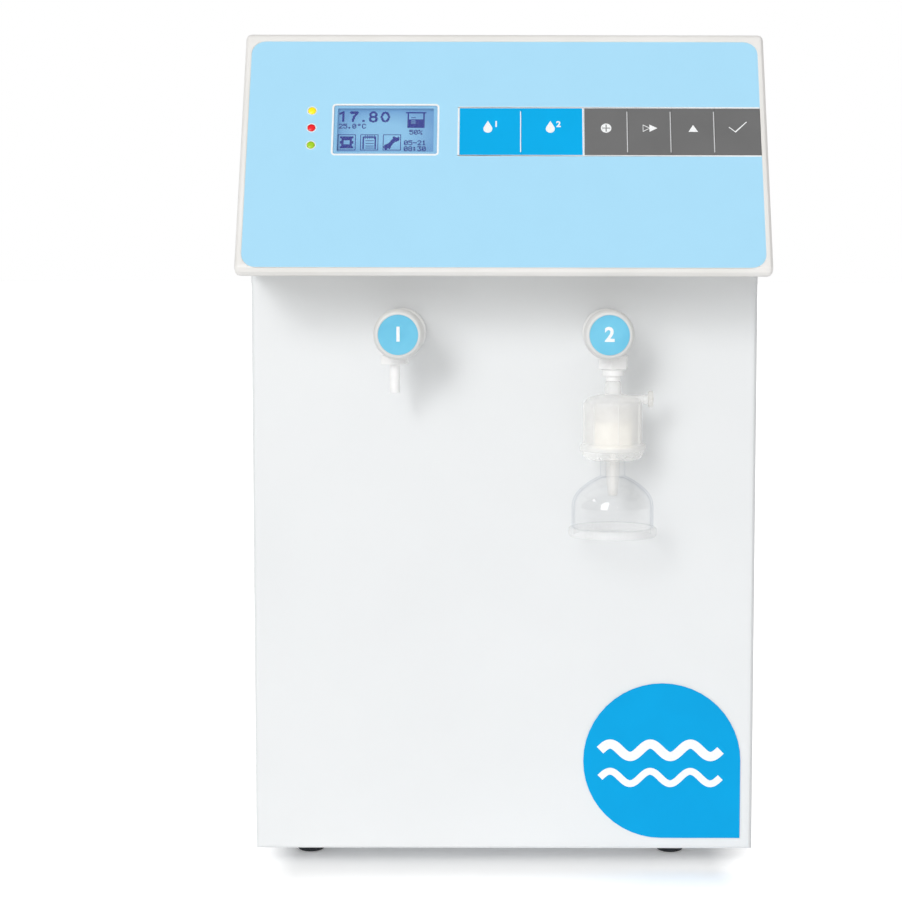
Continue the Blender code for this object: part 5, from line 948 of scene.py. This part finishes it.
neck, bore, wall, rim, foot = bell_high.z - 0.0102, 0.0046, 0.0012, bell_low.z + 0.0056, bell_low.z
outer = smooth_line([(r / 1000, neck - down / 1000) for r, down in drop_mm])
slopes = [outer[min(k + 1, len(outer) - 1)] - outer[max(k - 1, 0)] for k in range(len(outer))]
inner = [here + Vector((slope.y, -slope.x)).normalized() * wall for here, slope in zip(outer, slopes)]
crease = outer[-1].y
turned("filling_bell_clear", [
    (outer[0].x, bell_high.z), *outer, (0.0263, crease - 0.0005), (0.0262, crease - 0.0010), (0.0262, rim),
    (0.0250, rim), *inner[::-1], (bore, neck - wall), (bore, bell_high.z)],
    place, clear_wall, "filling_bell", sides=128)
turned("filling_bell_rim", [
    (0.0250, rim), (0.0250, foot + 0.0006), (0.0256, foot), (0.0278, foot), (0.0284, foot + 0.0007),
    (0.0284, rim - 0.0012), (0.0280, rim - 0.0005), (0.0272, rim)],
    place, milky_polypropylene("welded_milky_rim", 0.26, "#EDEEEF", "#F3F4F4"), sides=128)


# Rear tube ports
# Push-in acetal ports for feed water and drain, each with a grey collet ring in its mouth that is pressed
# to let the tube go.
mouths = []
for node in ("feed_port", "drain_port"):
    dressed(node, white_acetal, 0.35)
    mouths.append((middle_of(node).x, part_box(node)[1].y, middle_of(node).z))
collet = bmesh.new()
lathe(collet, mm((3.4, -3.0), (4.2, -3.0), (4.2, 0.05), (5.7, 0.05), (5.7, 0.9), (5.3, 1.3), (3.4, 1.3)),
      BACKWARDS, 40)
set_out("port_collets", collet, mouths,
        acetal("moulded_grey_acetal", "glass_filled_nylon_grey", "#8C9298", "#959BA1"))


# Mains inlet and switch
# A snap-in black nylon moulding with a three-pin socket of nickel-plated blades and a rocker with plain
# on and off marks.
dressed("mains_inlet", nylon, 0.4)
inlet = middle_of("mains_inlet")
socket_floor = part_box("mains_inlet")[1].y - 0.018
blade = bmesh.new()
prism(blade, even_box(0.00106, 0.00206, 0.0003, 2), -0.0131, -0.0002, FORWARDS)
# Nickel-plated brass: a warm bright metal with fine draw lines.
drawn = (0.5, 1, (1, 0.1, 1))
nickel = surface("nickel_plated_brass", "zinc_plated_steel", 0.25, drawn, "#BDB6AA", "#D2CDC3",
                 worn=(drawn, 0.2, 0.34), metal=1.0)
set_out("mains_blades", blade, [(inlet.x + across, socket_floor, inlet.z + up)
                                for across, up in mm((-7, -13), (7, -13), (0, -9))], nickel)
dressed("power_rocker", black_nylon("glossy_black_rocker", "black_rocker"), 0.35, 3, body="power_rocker")
slopes = [face for face in frame["nodes"]["power_rocker"].data.polygons if face.normal.y > 0.8 and face.area > 1e-5]
level = sum(face.normal.z for face in slopes) / len(slopes)
bar = [rectangle(-0.0003, 0.0003, -0.0015, 0.0015)]
ring = [(circle(0.0015, 32), circle(0.0010, 32))]
for name, upper, mark in (("on", True, bar), ("off", False, ring)):
    faces = [face for face in slopes if (face.normal.z < level) == upper]
    centre = sum((face.center for face in faces), Vector()) / len(faces)
    marked = Matrix.Translation(centre) @ faces[0].normal.to_track_quat("Z", "Y").to_matrix().to_4x4()
    flat_piece("rocker_mark_" + name, mark, (-0.0003, 0.00006), marked, ink, body="power_rocker")


# Cartridges
# Two extruded polypropylene shells and the moulded membrane housing have welded caps with grip ribs, and a
# plain coloured band tells them apart.
def cartridge_shell(name, slot, first, second):
    """Extruded polypropylene: satin, with long faint draw lines down its length."""
    draw = (1.4, 2, (1, 1, 0.03))
    return surface(name, slot, 0.38, draw, first, second, (draw, 0.01, 0.3), ((20,), 0.32, 0.46))


cap_rib, band_half, band_skin = 0.0125, 0.030, 0.00012
for node, shell, band_colours, rib_count in (
        ("ion_exchange_cartridge", cartridge_shell("blue_polypropylene_shell", "ion_exchange_cartridge_shell",
                                                   "#4C8FC4", "#5798CB"), ("#DDE7EE", "#E6EEF3"), 36),
        ("pretreatment_cartridge", cartridge_shell("white_polypropylene_shell", "pretreatment_cartridge_shell",
                                                   "#DDDEDC", "#E6E6E4"), ("#3F7F5E", "#4A8A69"), 36),
        ("membrane_housing", moulded_abs("moulded_white_housing", "#E2E3E3", "#EAEAE9"), ("#2F6FB2", "#3A7ABC"), 32)):
    dressed(node, shell, 0.5)
    low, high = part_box(node)
    radius = (high.y - low.y) / 2
    # The housing's drain stub widens its box on the right only, so its axis is a radius from the left.
    centre_x = low.x + radius if node == "membrane_housing" else (low.x + high.x) / 2
    centre = (centre_x, (low.y + high.y) / 2, 0)
    cap_top = high.z - 0.0155
    rib = bmesh.new()
    prism(rib, soft_box(radius - 0.0008, radius + 0.0006, -0.0008, 0.0008, (0, 0.0005, 0.0005, 0), 2),
          cap_top - cap_rib, cap_top, NO_TURN)
    set_out(node + "_grip_ribs", rib, [centre] * rib_count, shell,
            [(0, 0, math.tau * k / rib_count) for k in range(rib_count)])
    wall, half_way = radius - 0.0015, (low.z + high.z) / 2
    skin, bottom, top = wall + band_skin, half_way - band_half, half_way + band_half
    turned(node + "_band", [(wall - 0.0002, bottom), (skin, bottom), (skin, top), (wall - 0.0002, top)],
           Matrix.Translation(centre), cartridge_shell("printed_band_" + node, slots[shell.name], *band_colours),
           sides=96)


# Pump
# A diaphragm pump: a drawn steel motor can in black paint with pressed cooling ribs, and a glass-filled
# nylon head held on by four screws.
streaks = (0.9, 3, (1, 1, 0.25))
# Glass-filled nylon: dark grey, matt, with short pale fibre streaks.
glass_nylon = surface("glass_filled_grey_nylon", "glass_filled_nylon_grey", 0.55, streaks, "#53575D", "#686C72",
                      (streaks, 0.015, 0.4))
dressed("pump_motor", nylon, 0.5)
dressed("pump_head", glass_nylon, 0.5)
motor_low, motor_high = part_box("pump_motor")
pump_x, pump_z, screw_out = middle_of("pump_motor").x, motor_high.z - 0.032, 0.022
rib_count, rib_pitch = 8, 0.006
ring = bmesh.new()
lathe(ring, mm((31.8, -1.0), (32.5, -1.0), (32.8, 0), (32.5, 1.0), (31.8, 1.0)), FORWARDS, 64)
set_out("motor_cooling_ribs", ring, [(pump_x, motor_low.y + 0.030 + rib_pitch * k, pump_z)
                                     for k in range(rib_count)], nylon)
screw = bmesh.new()
lathe(screw, screw_head, FORWARDS, 24)
set_out("pump_head_screws", screw, [(pump_x + across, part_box("pump_head")[0].y, pump_z + up)
                                    for across in (-screw_out, screw_out) for up in (-screw_out, screw_out)],
        screw_zinc)


# Low-voltage supply
# A folded aluminium case on the left panel, with rows of punched cooling holes and a terminal block. Its
# metal is left in mill finish: pale, with straight rolling lines.
milled = (0.7, 2, (1, 0.03, 1))
aluminium = surface("mill_finish_aluminium", "aluminium_case", 0.42, milled, "#B4B8BC", "#CACDCF",
                    (milled, 0.008, 0.3), (milled, 0.36, 0.5), 1.0)
dressed("power_supply", aluminium, 0.5)
supply_low, supply_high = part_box("power_supply")
hole_radius, hole_pitch, hole_columns, hole_rows = 0.0014, 0.0055, 20, 10
hole = bmesh.new()
lathe(hole, [(0, -0.0002), (hole_radius, -0.0002), (hole_radius, 0.00006), (0, 0.00006)],
      Matrix.Rotation(math.pi / 2, 4, "Y"), 10)
set_out("supply_cooling_holes", hole, [(supply_high.x, supply_low.y + 0.020 + hole_pitch * k,
                                        supply_low.z + 0.022 + hole_pitch * (row + k % 2 / 2))
                                       for k in range(hole_columns) for row in range(hole_rows)], nylon)
terminal_count, terminal_pitch = 5, 0.0075
terminal = bmesh.new()
prism(terminal, even_box(0.0035, 0.0045, 0.0005, 2), 0, 0.0060, FORWARDS)
set_out("supply_terminals", terminal, [(supply_low.x + 0.010 + terminal_pitch * k, supply_low.y,
                                        supply_low.z + 0.012) for k in range(terminal_count)], nylon)


# Dispensing valves
# Small solenoid valves on the outlets' tails: white nylon blocks, each with a wound coil under polyester
# tape, which is amber brown and glossy, in turns about 3 mm wide.
tape = surface("amber_coil_tape", "valve_nylon_white", 0.3, (3, 1, (0.05, 0.05, 1)), "#A9671F", "#C98338")
coil_x, coil, taped = 0.014, 0.0108, 0.0113
for node in ("dispense_valve_1", "dispense_valve_2"):
    dressed(node, milky_polypropylene("moulded_valve_nylon_" + node[-1], 1.0, slot="valve_nylon_white"), 0.4)
    low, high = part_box(node)
    bottom, top = high.z - 0.0175, high.z - 0.0025
    turned(node + "_coil_tape", [(coil, bottom), (taped, bottom), (taped, top), (coil, top)],
           Matrix.Translation((low.x + coil_x, middle_of(node).y, 0)), tape)


# Control board
# A board behind the head's face, with moulded chips and rows of solder points on its rear: glass-epoxy
# laminate under green solder resist, semi-gloss, with a woven ground about 1 mm across.
laminate = surface("green_solder_resist", "circuit_board_green", 0.35, (1.0, 2), "#1A6136", "#257545",
                   ((1.0, 2), 0.01, 0.3))
dressed("control_board", laminate, 0.15, 1)
board_back = extent("control_board", face_normal)[0] - film_front
board_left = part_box("control_board")[0].x
board_top = extent("control_board", face_down)[0] - film_top
pin_count, pin_pitch, strip_pitch, chip_count, chip_pitch = 98, 0.00254, 0.038, 6, 0.040
dome = bmesh.new()
lathe(dome, mm((0, -0.7), (0.5, -0.5), (0.9, 0.2), (0, 0.2)), leaning, 8)
# Tin solder: a grey bright metal, slightly grained.
solder = surface("tin_solder", "zinc_plated_steel", 0.3, (0.4, 1), "#AEB3B8", "#C5C8CC", metal=1.0)
set_out("board_solder_points", dome, [
    on_face(board_left + 0.020 + pin_pitch * k, board_top + 0.010 + strip_pitch * row, board_back).translation
    for k in range(pin_count) for row in (0, 1)], solder)
chip = bmesh.new()
prism(chip, even_box(0.0075, 0.0075, 0.0006, 2), -0.0018, 0.0001, leaning)
set_out("board_chips", chip, [on_face(board_left + 0.045 + chip_pitch * k, board_top + 0.026, board_back).translation
                              for k in range(chip_count)], nylon)


# Tubes
# Quarter-inch white polyethylene tube, cut to length and pushed into the fittings: milky white and waxy,
# with a faint cloudiness.
white_tube = surface("extruded_white_polyethylene", "polyethylene_tube_white", 0.4, (6, 2), "#DDE0E1", "#EBECEB",
                     worn=((6, 2), 0.34, 0.48))
for node in ("feed_tube", "pump_inlet_tube", "pump_outlet_tube", "product_tube", "pure_water_tube", "drain_tube"):
    dressed(node, white_tube, 0.1, 1, least=60)
